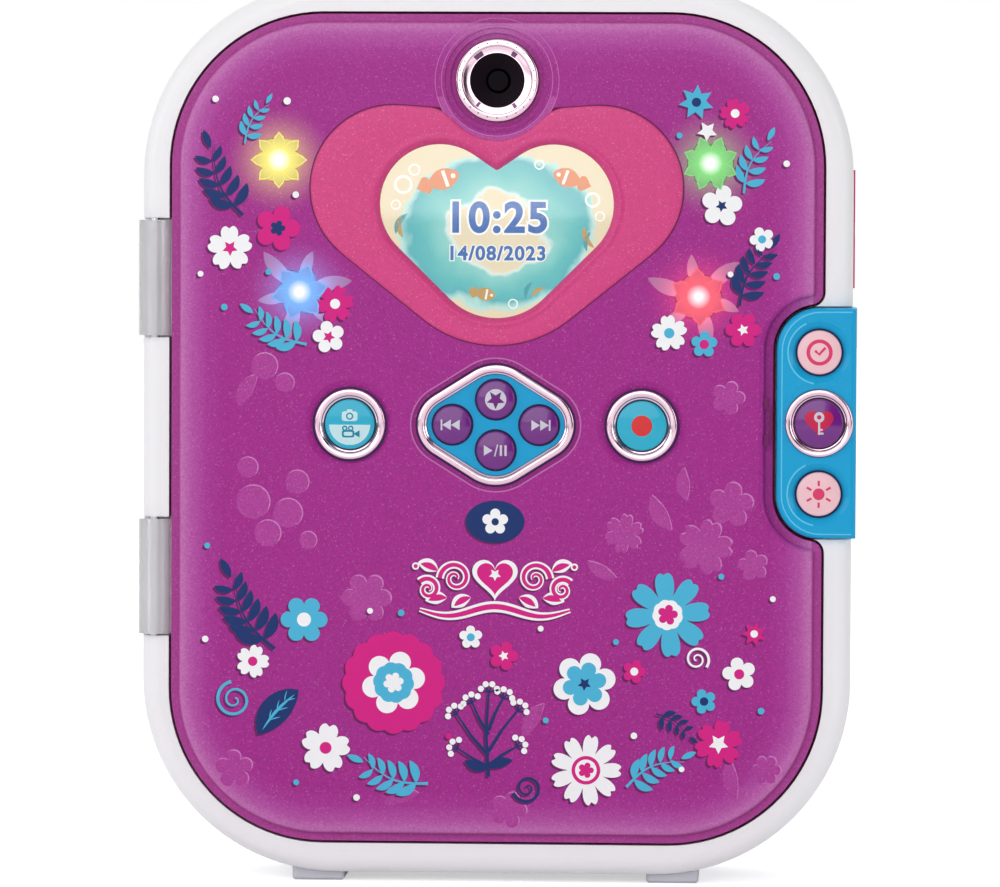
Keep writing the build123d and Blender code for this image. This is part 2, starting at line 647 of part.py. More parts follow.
def battery_box():
    """Walls round the cells and the ledge that the door lies on."""
    width, height = battery_bay()
    walls = Pos(BATTERY_X, BATTERY_Z) * RectangleRounded(
        width + 2 * BATTERY_WALL, height + 2 * BATTERY_WALL, BATTERY_WALL)
    box = slab(walls, BATTERY_FRONT_Y - BATTERY_WALL, REAR_Y - CASE_WALL / 2)
    ledge = slab(door_outline(-BATTERY_WALL), BATTERY_BACK_Y - CASE_WALL, REAR_Y - CASE_WALL / 2)
    for sign in (-1, 1):
        z = BATTERY_Z + sign * door_screw_rise()
        box += disc(BATTERY_X, z, CASE_BOSS_R, BATTERY_BACK_Y - SCREW_LENGTH - CASE_WALL, BATTERY_BACK_Y)
    return box + ledge


def battery_room():
    """What is cut from the rear shell: the bay, the door's seat and its screw holes."""
    width, height = battery_bay()
    bay = slab(Pos(BATTERY_X, BATTERY_Z) * Rectangle(width, height), BATTERY_FRONT_Y, REAR_Y)
    bay += slab(door_outline(-DOOR_GAP), BATTERY_BACK_Y, REAR_Y + CASE_WALL)
    for sign in (-1, 1):
        z = BATTERY_Z + sign * door_screw_rise()
        bay += disc(BATTERY_X, z, SCREW_R + SEAT_PLAY, BATTERY_BACK_Y - SCREW_LENGTH, BATTERY_BACK_Y)
    return bay


def door_outline(inset):
    width, height = battery_bay()
    return Pos(BATTERY_X, BATTERY_Z) * RectangleRounded(
        width + 2 * DOOR_LEDGE - 2 * inset, height + 2 * DOOR_EAR - 2 * inset, DOOR_R - inset)


def door_screw_rise():
    return battery_bay()[1] / 2 + DOOR_EAR / 2


def make_battery_door():
    door = slab(door_outline(0), BATTERY_BACK_Y, BATTERY_BACK_Y + DOOR_T)
    for sign in (-1, 1):
        z = BATTERY_Z + sign * door_screw_rise()
        door -= disc(BATTERY_X, z, SCREW_HEAD_R, BATTERY_BACK_Y + DOOR_T - SCREW_HEAD_T, REAR_Y)
        door -= disc(BATTERY_X, z, SCREW_R, BATTERY_BACK_Y, REAR_Y)
    return door


def make_battery_door_screws():
    head_y = BATTERY_BACK_Y + DOOR_T
    rise = door_screw_rise()
    length = SCREW_LENGTH - SCREW_HEAD_T
    return [screw(BATTERY_X, BATTERY_Z + sign * rise, head_y, length, -1) for sign in (-1, 1)]


def cell_rows():
    """Height of each cell and the way its positive end points."""
    middle = (CELL_COUNT - 1) / 2
    return [(BATTERY_Z + (row - middle) * CELL_PITCH, 1 if row % 2 else -1) for row in range(CELL_COUNT)]


def cell_y():
    return BATTERY_FRONT_Y + CELL_R + SEAT_PLAY


def bar_x(start, end, z, radius):
    """Round bar along X at the cells' depth."""
    low, high = sorted((start, end))
    return Pos((low + high) / 2, cell_y(), z) * Rot(0, 90, 0) * Cylinder(radius, high - low)


def make_battery_cells():
    cells = []
    for z, way in cell_rows():
        base = BATTERY_X - way * (CELL_LENGTH + CELL_NUB_T) / 2
        shoulder = base + way * CELL_LENGTH
        cells.append(bar_x(base, shoulder, z, CELL_R) + bar_x(shoulder, shoulder + way * CELL_NUB_T, z, CELL_NUB_R))
    return cells


def make_battery_springs():
    """A conical spring on each negative end, as its outer shape."""
    springs = []
    for z, way in cell_rows():
        wall_x = BATTERY_X - way * (battery_bay()[0] / 2 - CONTACT_T)
        base = BATTERY_X - way * (CELL_LENGTH + CELL_NUB_T) / 2
        length = abs(base - wall_x)
        cone = Rot(0, way * 90, 0) * Cone(SPRING_R, SPRING_R / 2, length)
        springs.append(Pos((base + wall_x) / 2, cell_y(), z) * cone)
    return springs


def make_battery_plates():
    """Flat contacts on the end walls of the bay, one at each end of every cell."""
    plates = []
    half = CONTACT_SIZE / 2
    for z, way in cell_rows():
        for side in (-1, 1):
            wall_x = BATTERY_X + side * battery_bay()[0] / 2
            tip = wall_x - side * CONTACT_T
            if side == way:
                tip = BATTERY_X + side * (CELL_LENGTH + CELL_NUB_T) / 2
            plates.append(block(sorted((wall_x, tip)), (cell_y() - half, cell_y() + half), (z - half, z + half)))
    return plates


def make_feet():
    """Two rubber feet, cut to the round of the case's lower corners."""
    feet = []
    rest = slab(body_outline(0), -BODY_WIDTH, BODY_WIDTH)
    half_w = FOOT_WIDTH / 2
    half_l = FOOT_LENGTH / 2
    middle_y = (FRAME_Y + REAR_Y) / 2
    for side in (-1, 1):
        x = side * FOOT_PITCH / 2
        foot = block((x - half_w, x + half_w), (middle_y - half_l, middle_y + half_l), (0, 3 * FOOT_HEIGHT))
        corners = foot.edges().filter_by(Axis.Z)
        foot = fillet(corners, FOOT_EDGE_R)
        sole = foot.faces().sort_by(Axis.Z)[0].outer_wire().edges()
        feet.append(chamfer(sole, FOOT_EDGE_R / 2) - rest)
    return feet


def make_hinge_pins():
    half = KNUCKLE_HEIGHT / 2 + PIN_BITE
    return [Pos(PIN_X, PIN_Y, z) * Cylinder(PIN_R, 2 * half) for z in KNUCKLE_Z]


def make_case_screws():
    head_y = SPLIT_Y + CASE_TUBE_SEAT + SCREW_HEAD_T
    return [screw(x, z, head_y, SCREW_LENGTH, -1) for x, z in CASE_SCREWS]


def make_speaker():
    """Frame, cone and magnet of a small loudspeaker that faces the grille."""
    y = speaker_front()
    rim = y + SPEAKER_T
    cone_y = y + SPEAKER_T - SPEAKER_RING_T
    profile = [
        (0, y), (SPEAKER_MAGNET_R, y), (SPEAKER_MAGNET_R, y + SPEAKER_RING_T),
        (SPEAKER_R, cone_y), (SPEAKER_R, rim), (SPEAKER_EDGE_R, rim),
        (SPEAKER_CONE_R, cone_y), (0, cone_y)]
    return turned(profile, SPEAKER_X, SPEAKER_Z)


# ---------------------------------------------------------------- tray and what it holds
def bay_sketch(x, z, width, height, grow):
    return Pos(x, z) * RectangleRounded(width + 2 * grow, height + 2 * grow, BAY_CORNER_R + grow)


def bays():
    """Centre, size and depth of every bay in the tray."""
    width, height, _ = NOTEPAD
    pad = 2 * NOTEPAD_PLAY
    return [
        (NOTEPAD_X, NOTEPAD_Z, width + pad, height + pad, NOTEPAD_BAY_DEPTH),
        (PEN_X, PEN_Z, *PEN_BAY),
        (0, STORAGE_Z, *STORAGE_BAY)]


def make_inner_tray():
    """Pink tray behind the lid: plate, bays and the bosses for the case screws."""
    tray = slab(lid_outline(-LID_GAP - SKIRT_T), TRAY_Y, TRAY_BACK_Y)
    for x, z, width, height, depth in bays():
        tray += slab(bay_sketch(x, z, width, height, TRAY_WALL), TRAY_Y, TRAY_Y + depth + TRAY_WALL)
    for x, z in CASE_SCREWS:
        tray += disc(x, z, CASE_BOSS_R, TRAY_BACK_Y - TRAY_PLATE_T / 2, SPLIT_Y)
        tray -= disc(x, z, SCREW_R, SPLIT_Y + CASE_TUBE_SEAT - SCREW_LENGTH, SPLIT_Y)
    for z in port_post_heights():
        tray += disc(port_post_x(), z, BOARD_POST_R, TRAY_BACK_Y - TRAY_PLATE_T / 2, port_board_y())
    for x, z, width, height, depth in bays():
        tray -= slab(bay_sketch(x, z, width, height, 0), TRAY_Y - TRAY_WALL, TRAY_Y + depth)
    return tray


def port_post_x():
    return SIDE_X - CASE_WALL - PORT_BOARD[0] + BOARD_POST_R


def port_post_heights():
    rise = PORT_BOARD[1] / 2 - BOARD_POST_R
    return (PORT_Z - rise, PORT_Z + rise)


def make_notepad_pages():
    width, height, thick = NOTEPAD
    back = TRAY_Y + NOTEPAD_BAY_DEPTH - SEAT_PLAY
    return block((NOTEPAD_X - width / 2 + NOTEPAD_CARD_T, NOTEPAD_X + width / 2 - NOTEPAD_CARD_T),
                 (back - thick + NOTEPAD_CARD_T, back - NOTEPAD_CARD_T),
                 (NOTEPAD_Z - height / 2 + NOTEPAD_CARD_T, NOTEPAD_Z + height / 2 - NOTEPAD_CARD_T))


def make_notepad_cover():
    """Card folded round the pages, its spine at the left."""
    width, height, thick = NOTEPAD
    back = TRAY_Y + NOTEPAD_BAY_DEPTH - SEAT_PLAY
    card = block((NOTEPAD_X - width / 2, NOTEPAD_X + width / 2), (back - thick, back),
                 (NOTEPAD_Z - height / 2, NOTEPAD_Z + height / 2))
    return card - block((NOTEPAD_X - width / 2 + NOTEPAD_CARD_T, NOTEPAD_X + width),
                        (back - thick + NOTEPAD_CARD_T, back - NOTEPAD_CARD_T),
                        (NOTEPAD_Z - height, NOTEPAD_Z + height))


def pen_y():
    return TRAY_Y + PEN_BAY[2] - SEAT_PLAY - PEN_CAP_R


def make_pen_barrel():
    """Barrel with a tapered nib, point down, inside its cap at the lower end."""
    low = PEN_Z - PEN_LENGTH / 2
    profile = Polyline((0, low + PEN_R), (PEN_R / 3, low + PEN_R), (PEN_TAPER_R, low + 4 * PEN_R),
                       (PEN_R, low + PEN_CAP_LENGTH), (PEN_R, low + PEN_LENGTH - CAP_EDGE_R),
                       (PEN_R - CAP_EDGE_R, low + PEN_LENGTH), (0, low + PEN_LENGTH), close=True)
    solid = revolve(make_face(Plane.XZ * profile), Axis.Z)
    return Pos(PEN_X, pen_y(), 0) * solid


def make_pen_cap():
    low = PEN_Z - PEN_LENGTH / 2
    cap = Cylinder(PEN_CAP_R, PEN_CAP_LENGTH, align=(Align.CENTER, Align.CENTER, Align.MIN))
    cap = chamfer(cap.faces().sort_by(Axis.Z)[0].edges(), CAP_EDGE_R)
    bore = Pos(0, 0, TRAY_WALL) * Cylinder(PEN_R + RING_FIT, PEN_CAP_LENGTH,
                                           align=(Align.CENTER, Align.CENTER, Align.MIN))
    return Pos(PEN_X, pen_y(), low) * (cap - bore)


# ---------------------------------------------------------------- latch
def latch_heights():
    return {"clock": NOTCH_Z + LATCH_BUTTON_PITCH, "key": NOTCH_Z,
            "light": NOTCH_Z - LATCH_BUTTON_PITCH}


def make_latch_housing():
    """Blue housing with its three button holes, the bolt's slot and the side tongue."""
    solid = slab(housing_outline(0), HOUSING_FRONT_Y, HOUSING_BACK_Y)
    solid = fillet(front_edges(solid), HOUSING_EDGE_R)
    half = NOTCH_HEIGHT / 2 - HOUSING_GAP
    tongue = block((SIDE_X + RING_FIT, HOUSING_OUT_X),
                   (HOUSING_BACK_Y - TONGUE_LENGTH, HOUSING_BACK_Y + TONGUE_LENGTH),
                   (NOTCH_Z - half, NOTCH_Z + half))
    ends = tongue.edges().filter_by(Axis.X).group_by(Axis.Y)[-1]
    solid += fillet(ends, NOTCH_R / 2)
    solid -= slab(housing_outline(HOUSING_WALL), HOUSING_PANEL_Y, HOUSING_BACK_Y)
    heights = latch_heights()
    for name in ("clock", "light"):
        solid -= dish(LATCH_BUTTON_X, heights[name], DISH_R, LATCH_BUTTON_R + BUTTON_GAP, HOUSING_FRONT_Y, DISH_DEPTH)
        solid -= disc(LATCH_BUTTON_X, heights[name], LATCH_BUTTON_R + BUTTON_GAP, HOUSING_FRONT_Y, HOUSING_PANEL_Y)
    key_z = heights["key"]
    solid -= disc(LATCH_BUTTON_X, key_z, KEY_RING_R + RING_FIT, HOUSING_FRONT_Y, HOUSING_FRONT_Y + KEY_RING_SEAT)
    solid -= disc(LATCH_BUTTON_X, key_z, KEY_BUTTON_R + BUTTON_GAP, HOUSING_FRONT_Y, HOUSING_PANEL_Y)
    left = NOTCH_X + HOUSING_GAP
    return solid - bolt_space(left - HOUSING_WALL, left + 2 * HOUSING_WALL)


def dish(x, z, rim_r, floor_r, front_y, depth):
    """Sloping recess round a button."""
    return turned([(0, front_y), (rim_r, front_y), (floor_r, front_y + depth), (0, front_y + depth)], x, z)


def bolt_space(start_x, end_x):
    """Slot that the bolt and its rack slide in."""
    half = BOLT_HEIGHT / 2 + BOLT_FIT
    return block((start_x, end_x), (BOLT_Y - BOLT_FIT, BOLT_Y + BOLT_THICK + BOLT_FIT),
                 (BOLT_Z - half - RACK_MODULE, BOLT_Z + half))


def pitch_r():
    return RACK_MODULE * PINION_TEETH / 2


def pinion_z():
    """Axis of the pinion below the bolt's rack."""
    return BOLT_Z - BOLT_HEIGHT / 2 - RACK_MODULE - RACK_BACKLASH - pitch_r()


def rack_pitch():
    return math.pi * RACK_MODULE


def make_lock_bolt():
    """Bolt with a bevelled nose and a toothed rack along its lower edge."""
    nose_x = NOTCH_X + HOUSING_GAP + SEAT_PLAY
    low_z = BOLT_Z - BOLT_HEIGHT / 2
    bolt = block((nose_x, nose_x + BOLT_LENGTH), (BOLT_Y, BOLT_Y + BOLT_THICK), (low_z, low_z + BOLT_HEIGHT))
    tooth_foot = rack_pitch() / 4
    tip_z = low_z - RACK_MODULE
    first = PINION_X + rack_pitch() / 2
    teeth = int((nose_x + BOLT_LENGTH - first) / rack_pitch())
    back = int(BOLT_TRAVEL / rack_pitch())
    for index in range(-back, teeth):
        x = first + index * rack_pitch()
        tooth = Polyline((x - tooth_foot, low_z + CAP_EDGE_R), (x + tooth_foot, low_z + CAP_EDGE_R),
                         (x + tooth_foot / 2, tip_z), (x - tooth_foot / 2, tip_z), close=True)
        bolt += slab(make_face(tooth), BOLT_Y, BOLT_Y + BOLT_THICK)
    return bolt


def make_lock_pinion():
    """Pinion on the motor's shaft that drives the rack."""
    radius = pitch_r()
    tip_r = radius + RACK_MODULE - RACK_BACKLASH
    root_r = radius - RACK_MODULE - RACK_BACKLASH
    wheel = Circle(root_r)
    half_foot = math.pi / PINION_TEETH / 2
    for index in range(PINION_TEETH):
        turn = math.pi / 2 + 2 * math.pi * index / PINION_TEETH
        points = []
        for reach, angle in ((root_r - RACK_BACKLASH, -half_foot), (tip_r, -half_foot / 3),
                             (tip_r, half_foot / 3), (root_r - RACK_BACKLASH, half_foot)):
            points.append((reach * math.cos(turn + angle), reach * math.sin(turn + angle)))
        wheel += make_face(Polyline(*points, close=True))
    wheel -= Circle(SCREW_R / 2 + RING_FIT)
    return slab(Pos(PINION_X, pinion_z()) * wheel, BOLT_Y, BOLT_Y + BOLT_THICK)


def make_lock_motor():
    """Motor can in the shelf's hole, its shaft forward through the pinion."""
    front = HOUSING_BACK_Y
    motor = disc(PINION_X, pinion_z(), MOTOR_R, front, front + MOTOR_LENGTH)
    motor = fillet(motor.edges().filter_by(GeomType.CIRCLE), CAP_EDGE_R)
    return motor + disc(PINION_X, pinion_z(), SCREW_R / 2, BOLT_Y - BOLT_FIT, front + 1)


def make_key_ring():
    front = HOUSING_FRONT_Y - KEY_RING_SEAT
    inner = KEY_BUTTON_R + BUTTON_GAP
    return ring(LATCH_BUTTON_X, latch_heights()["key"], KEY_RING_R, inner, front,
                HOUSING_FRONT_Y + KEY_RING_SEAT, CAP_EDGE_R)


def make_latch_board():
    """Switch board behind the latch buttons."""
    outline = housing_outline(HOUSING_WALL + SEAT_PLAY)
    return slab(outline, LATCH_BOARD_Y, LATCH_BOARD_Y + BOARD_T)


def make_latch_switches():
    return [tact_switch(LATCH_BUTTON_X, z, LATCH_SWITCH_Y) for z in latch_heights().values()]


def make_port_cover():
    """Pink rubber flap, with a finger notch in its front edge."""
    length, width, thick = PORT_FLAP
    inner_x = SIDE_X - PORT_FLAP_SINK + PORT_FLAP_GAP / 2
    flap = block((inner_x, inner_x + thick), (PORT_FLAP_Y - width / 2, PORT_FLAP_Y + width / 2),
                 (PORT_Z - length / 2, PORT_Z + length / 2))
    notch_height, notch_depth = PORT_NOTCH
    front = PORT_FLAP_Y - width / 2
    flap -= block((SIDE_X - CASE_WALL, SIDE_X + CASE_WALL), (front, front + notch_depth),
                  (PORT_Z - notch_height / 2, PORT_Z + notch_height / 2))
    return flap


def make_port_board():
    width, height = PORT_BOARD
    right = SIDE_X - CASE_WALL - SEAT_PLAY
    return block((right - width, right), (port_board_y(), port_board_y() + BOARD_T),
                 (PORT_Z - height / 2, PORT_Z + height / 2))


def make_port_sockets():
    sockets = []
    for size, offset in ((USB_SOCKET, USB_OFFSET), (CARD_SOCKET, CARD_OFFSET)):
        shell = socket_block(size, offset, 0, SIDE_X - PORT_FLAP_SINK - SEAT_PLAY)
        reach, height, thick = size
        y = port_board_y() - thick
        mouth = block((SIDE_X - 2 * CASE_WALL, SIDE_X), (y + CONTACT_T, y + thick - CONTACT_T),
                      (PORT_Z + offset - height / 2 + CONTACT_T, PORT_Z + offset + height / 2 - CONTACT_T))
        sockets.append(shell - mouth)
    return sockets


# ---------------------------------------------------------------- lid
def make_lid_cover():
    """Purple cover: thin rim, raised face, pockets for bezels and posts for the boards."""
    cover = slab(lid_outline(FLANGE_W), FACE_Y, RIM_BACK_Y)
    cover = fillet(front_edges(cover), LID_EDGE_R)
    cover += slab(lid_outline(0), FRAME_Y, RIM_BACK_Y)
    cover -= slab(lid_outline(FLANGE_W + LID_WALL), COVER_BACK_Y, RIM_BACK_Y)
    cover += disc(0, CAMERA_Z, CAMERA_RECESS_R + HEART_CAMERA_LAND, COVER_BACK_Y, COVER_BACK_Y + CAMERA_BOSS_T)
    for side in (-1, 1):
        cover += disc(side * SIDE_BUTTON_X, NAV_Z, SIDE_RECESS_R, COVER_BACK_Y, COVER_BACK_Y + SIDE_BOSS_T)
    cover += lid_posts()
    cover -= heart_room()
    cover -= camera_room()
    cover -= nav_room()
    for side in (-1, 1):
        cover -= side_button_room(side * SIDE_BUTTON_X)
    for x, z in FLOWER_LIGHTS:
        cover -= slab(flower_outline(x, z, FLOWER_FIT), FACE_Y, COVER_BACK_Y)
    return cover


def lid_posts():
    """Screw bosses, board posts and light-strip posts behind the cover."""
    posts = []
    for x, z in LID_SCREWS:
        posts.append(disc(x, z, LID_BOSS_R, COVER_BACK_Y, TUB_FLOOR_Y)
                     - disc(x, z, SCREW_R, TUB_FLOOR_Y - SCREW_LENGTH, TUB_FLOOR_Y))
    for x, z in board_corners():
        posts.append(disc(x, z, BOARD_POST_R, COVER_BACK_Y, LID_BOARD_Y))
    for x, low, high in led_strips():
        for z in (low + LED_POST_R, high - LED_POST_R):
            posts.append(disc(x, z, LED_POST_R, COVER_BACK_Y, COVER_BACK_Y + LED_T))
    return posts


def board_corners():
    x = MAIN_BOARD[0] / 2 - BOARD_POST_INSET
    z = MAIN_BOARD[1] / 2 - BOARD_POST_INSET
    return [(sx * x, NAV_Z + sz * z) for sx in (-1, 1) for sz in (-1, 1)]


def led_strips():
    """X, lowest Z and highest Z of the light strip on each side."""
    strips = []
    for first in (0, 2):
        (upper_x, upper_z), (lower_x, lower_z) = FLOWER_LIGHTS[first:first + 2]
        strips.append(((upper_x + lower_x) / 2, lower_z - LED_STRIP_OVERHANG, upper_z + LED_STRIP_OVERHANG))
    return strips


def heart_room():
    pocket = slab(heart_outline(HEART_FIT), FACE_Y, FACE_Y + HEART_POCKET)
    return pocket + slab(window_outline(WINDOW_MARGIN + WINDOW_FIT), FACE_Y, COVER_BACK_Y)


def camera_room():
    room = disc(0, CAMERA_Z, CAMERA_RECESS_R, FACE_Y, FACE_Y + CAMERA_RECESS_DEPTH)
    room += disc(0, CAMERA_Z, CAMERA_STEP_R, FACE_Y, FACE_Y + CAMERA_STEP_DEPTH)
    return room + disc(0, CAMERA_Z, CAMERA_RING_R + RING_FIT, FACE_Y, COVER_BACK_Y + CAMERA_BOSS_T)


def nav_room():
    room = slab(nav_outline(-NAV_GROOVE_W), FACE_Y, FACE_Y + NAV_GROOVE_DEPTH)
    room += slab(nav_outline(-RING_FIT), FACE_Y, FACE_Y + NAV_POCKET)
    return room + slab(nav_outline(NAV_LEDGE), FACE_Y, COVER_BACK_Y)


def side_button_room(x):
    room = dish(x, NAV_Z, SIDE_RECESS_R, SIDE_RING_R + RING_FIT, FACE_Y, SIDE_RECESS_DEPTH)
    room += disc(x, NAV_Z, SIDE_RING_R + RING_FIT, FACE_Y, FACE_Y + SIDE_RECESS_DEPTH + SIDE_RING_SEAT)
    return room + disc(x, NAV_Z, SIDE_BUTTON_R + BUTTON_GAP, FACE_Y, COVER_BACK_Y + SIDE_BOSS_T)


def make_hinge_knuckles():
    """Clear knuckles: a barrel on the pin and a leaf into the lid."""
    knuckles = []
    for z in KNUCKLE_Z:
        low = z - KNUCKLE_HEIGHT / 2
        high = z + KNUCKLE_HEIGHT / 2
        barrel = Pos(PIN_X, PIN_Y, z) * Cylinder(KNUCKLE_R, KNUCKLE_HEIGHT)
        barrel += block((PIN_X, PIN_X + LEAF_LENGTH), (RIM_BACK_Y, RIM_BACK_Y + LEAF_T), (low, high))
        bore = Pos(PIN_X, PIN_Y, z) * Cylinder(PIN_R + PIN_RUNNING_FIT, 2 * KNUCKLE_HEIGHT)
        knuckles.append(barrel - bore)
    return knuckles


def make_lid_panel():
    """Pink inner panel: a shallow tub that closes the lid from behind."""
    tub = slab(lid_outline(TUB_INSET), RIM_BACK_Y, LID_BACK_Y)
    back = tub.faces().sort_by(Axis.Y)[-1].outer_wire().edges()
    tub = fillet(back, TUB_EDGE_R)
    tub -= slab(lid_outline(TUB_INSET + TUB_WALL), RIM_BACK_Y, TUB_FLOOR_Y)
    for z in KNUCKLE_Z:
        half = KNUCKLE_HEIGHT / 2 + SEAT_PLAY
        tub -= block((-LID_WIDTH, PIN_X + LEAF_LENGTH), (RIM_BACK_Y, RIM_BACK_Y + LEAF_T + SEAT_PLAY),
                     (z - half, z + half))
    for x, z in LID_SCREWS:
        tub -= disc(x, z, SCREW_R + SEAT_PLAY, TUB_FLOOR_Y, LID_BACK_Y)
        tub -= disc(x, z, SCREW_HEAD_R + SEAT_PLAY, LID_BACK_Y - SCREW_HEAD_T, LID_BACK_Y)
    inner = NOTCH_X - TUB_INSET
    return tub - bolt_space(inner - TUB_WALL - KEEPER_T, inner + TUB_WALL)


def make_lid_keeper():
    """Steel striker plate inside the notch wall, with the bolt's slot."""
    wall_x = NOTCH_X - TUB_INSET - TUB_WALL
    half = BOLT_HEIGHT / 2 + KEEPER_MARGIN
    plate = block((wall_x - KEEPER_T, wall_x), (BOLT_Y - KEEPER_MARGIN, TUB_FLOOR_Y),
                  (BOLT_Z - half, BOLT_Z + half))
    return plate - bolt_space(wall_x - 2 * KEEPER_T, wall_x + KEEPER_T)


def make_lid_screws():
    return [screw(x, z, LID_BACK_Y, SCREW_LENGTH - SCREW_HEAD_T, -1) for x, z in LID_SCREWS]


def make_heart_bezel():
    front = FACE_Y - HEART_PROUD
    bezel = slab(heart_outline(0), front, FACE_Y + HEART_POCKET)
    bezel = fillet(front_edges(bezel), HEART_EDGE_R)
    step = slab(window_outline(WINDOW_MARGIN), front, front + HEART_PROUD)
    return bezel - step - slab(window_outline(0), front, FACE_Y + HEART_POCKET)


def make_display_window():
    return slab(window_outline(WINDOW_MARGIN), FACE_Y + HEART_POCKET, COVER_BACK_Y)


def make_display_panel():
    width, height, thick = DISPLAY_SIZE
    return block((-width / 2, width / 2), (COVER_BACK_Y, COVER_BACK_Y + thick),
                 (DISPLAY_Z - height / 2, DISPLAY_Z + height / 2))


def make_camera_ring():
    """Chromed ring whose back flange catches behind the cover."""
    front = FACE_Y + CAMERA_RING_SINK
    back = COVER_BACK_Y + CAMERA_BOSS_T
    bore = CAMERA_WELL_R + CAMERA_BARREL_WALL
    solid = ring(0, CAMERA_Z, CAMERA_RING_R, bore, front, back, CAP_EDGE_R)
    flange = disc(0, CAMERA_Z, CAMERA_RING_R + COLLAR_W, back, back + COLLAR_T)
    return solid + (flange - disc(0, CAMERA_Z, bore, back, back + COLLAR_T))


def camera_floor():
    return FACE_Y + 2 * CAMERA_RING_SINK + CAMERA_WELL_DEPTH


def make_camera_barrel():
    """Black stepped well that narrows to the lens."""
    front = FACE_Y + 2 * CAMERA_RING_SINK
    floor = camera_floor()
    inside = [(CAMERA_WELL_R, front)]
    for step in range(CAMERA_WELL_STEPS):
        share = (step + 1) / CAMERA_WELL_STEPS
        radius = CAMERA_WELL_R + (CAMERA_LENS_R - CAMERA_WELL_R) * share
        depth = front + CAMERA_WELL_DEPTH * share
        inside.append((inside[-1][0], depth))
        inside.append((radius, depth))
    back = floor + CAMERA_LENS_T
    outer = CAMERA_WELL_R + CAMERA_BARREL_WALL
    outline = inside + [(CAMERA_LENS_R, back), (outer, back), (outer, front)]
    return turned(outline, 0, CAMERA_Z)


def make_camera_lens():
    """Domed glass in the bottom of the well."""
    floor = camera_floor()
    lens = disc(0, CAMERA_Z, CAMERA_LENS_R, floor - CAP_EDGE_R, floor + CAMERA_LENS_T)
    return chamfer(front_edges(lens), CAP_EDGE_R)


def make_camera_sensor():
    back = camera_floor() + CAMERA_LENS_T
    half = CAMERA_SENSOR_SIZE / 2
    return block((-half, half), (back, back + CAMERA_SENSOR_T), (CAMERA_Z - half, CAMERA_Z + half))


def make_nav_bezel():
    front = FACE_Y - NAV_BEZEL_PROUD
    bezel = slab(nav_outline(0), front, FACE_Y + NAV_POCKET)
    bezel = fillet(front_edges(bezel), CAP_EDGE_R)
    opening = slab(nav_outline(NAV_BEZEL_W), front, FACE_Y + NAV_POCKET)
    return bezel - opening


def nav_buttons():
    return {"star": (0, NAV_BUTTON_RISE), "previous": (-NAV_BUTTON_X, 0),
            "next": (NAV_BUTTON_X, 0), "play": (0, -NAV_BUTTON_RISE)}


def make_nav_plate():
    """Blue plate: its front fills the bezel, its flange lies behind the cover."""
    plate = slab(nav_outline(NAV_LEDGE + RING_FIT), FACE_Y + NAV_POCKET, COVER_BACK_Y)
    plate += slab(nav_outline(-NAV_FLANGE_W), COVER_BACK_Y, NAV_PANEL_Y)
    for x, rise in nav_buttons().values():
        plate -= disc(x, NAV_Z + rise, NAV_BUTTON_R + BUTTON_GAP, FACE_Y, NAV_PANEL_Y)
    return plate


def make_side_ring(side):
    front = FACE_Y - RING_FIT
    back = FACE_Y + SIDE_RECESS_DEPTH + SIDE_RING_SEAT
    return ring(side * SIDE_BUTTON_X, NAV_Z, SIDE_RING_R, SIDE_BUTTON_R + BUTTON_GAP, front, back, CAP_EDGE_R)


def make_flower_windows():
    return [slab(flower_outline(x, z, 0), FACE_Y - RING_FIT, COVER_BACK_Y) for x, z in FLOWER_LIGHTS]


def make_flower_leds():
    return [disc(x, z, LED_R, COVER_BACK_Y + RING_FIT, COVER_BACK_Y + LED_T) for x, z in FLOWER_LIGHTS]


def make_led_strips():
    strips = []
    front = COVER_BACK_Y + LED_T
    for x, low, high in led_strips():
        strips.append(block((x - LED_STRIP_W / 2, x + LED_STRIP_W / 2), (front, front + BOARD_T), (low, high)))
    return strips


def make_main_board():
    width, height = MAIN_BOARD
    outline = Pos(0, NAV_Z) * RectangleRounded(width, height, BOARD_POST_R)
    return slab(outline, LID_BOARD_Y, LID_BOARD_Y + BOARD_T)


def make_lid_switches():
    places = [(x, NAV_Z + rise) for x, rise in nav_buttons().values()]
    places += [(-SIDE_BUTTON_X, NAV_Z), (SIDE_BUTTON_X, NAV_Z)]
    return [tact_switch(x, z, LID_SWITCH_Y) for x, z in places]


def make_microphone():
    return disc(SIDE_BUTTON_X / 2 + NAV_BUTTON_R, NAV_Z - MAIN_BOARD[1] / 2 + 2 * MICROPHONE_R, MICROPHONE_R,
                LID_BOARD_Y - MICROPHONE_T, LID_BOARD_Y)


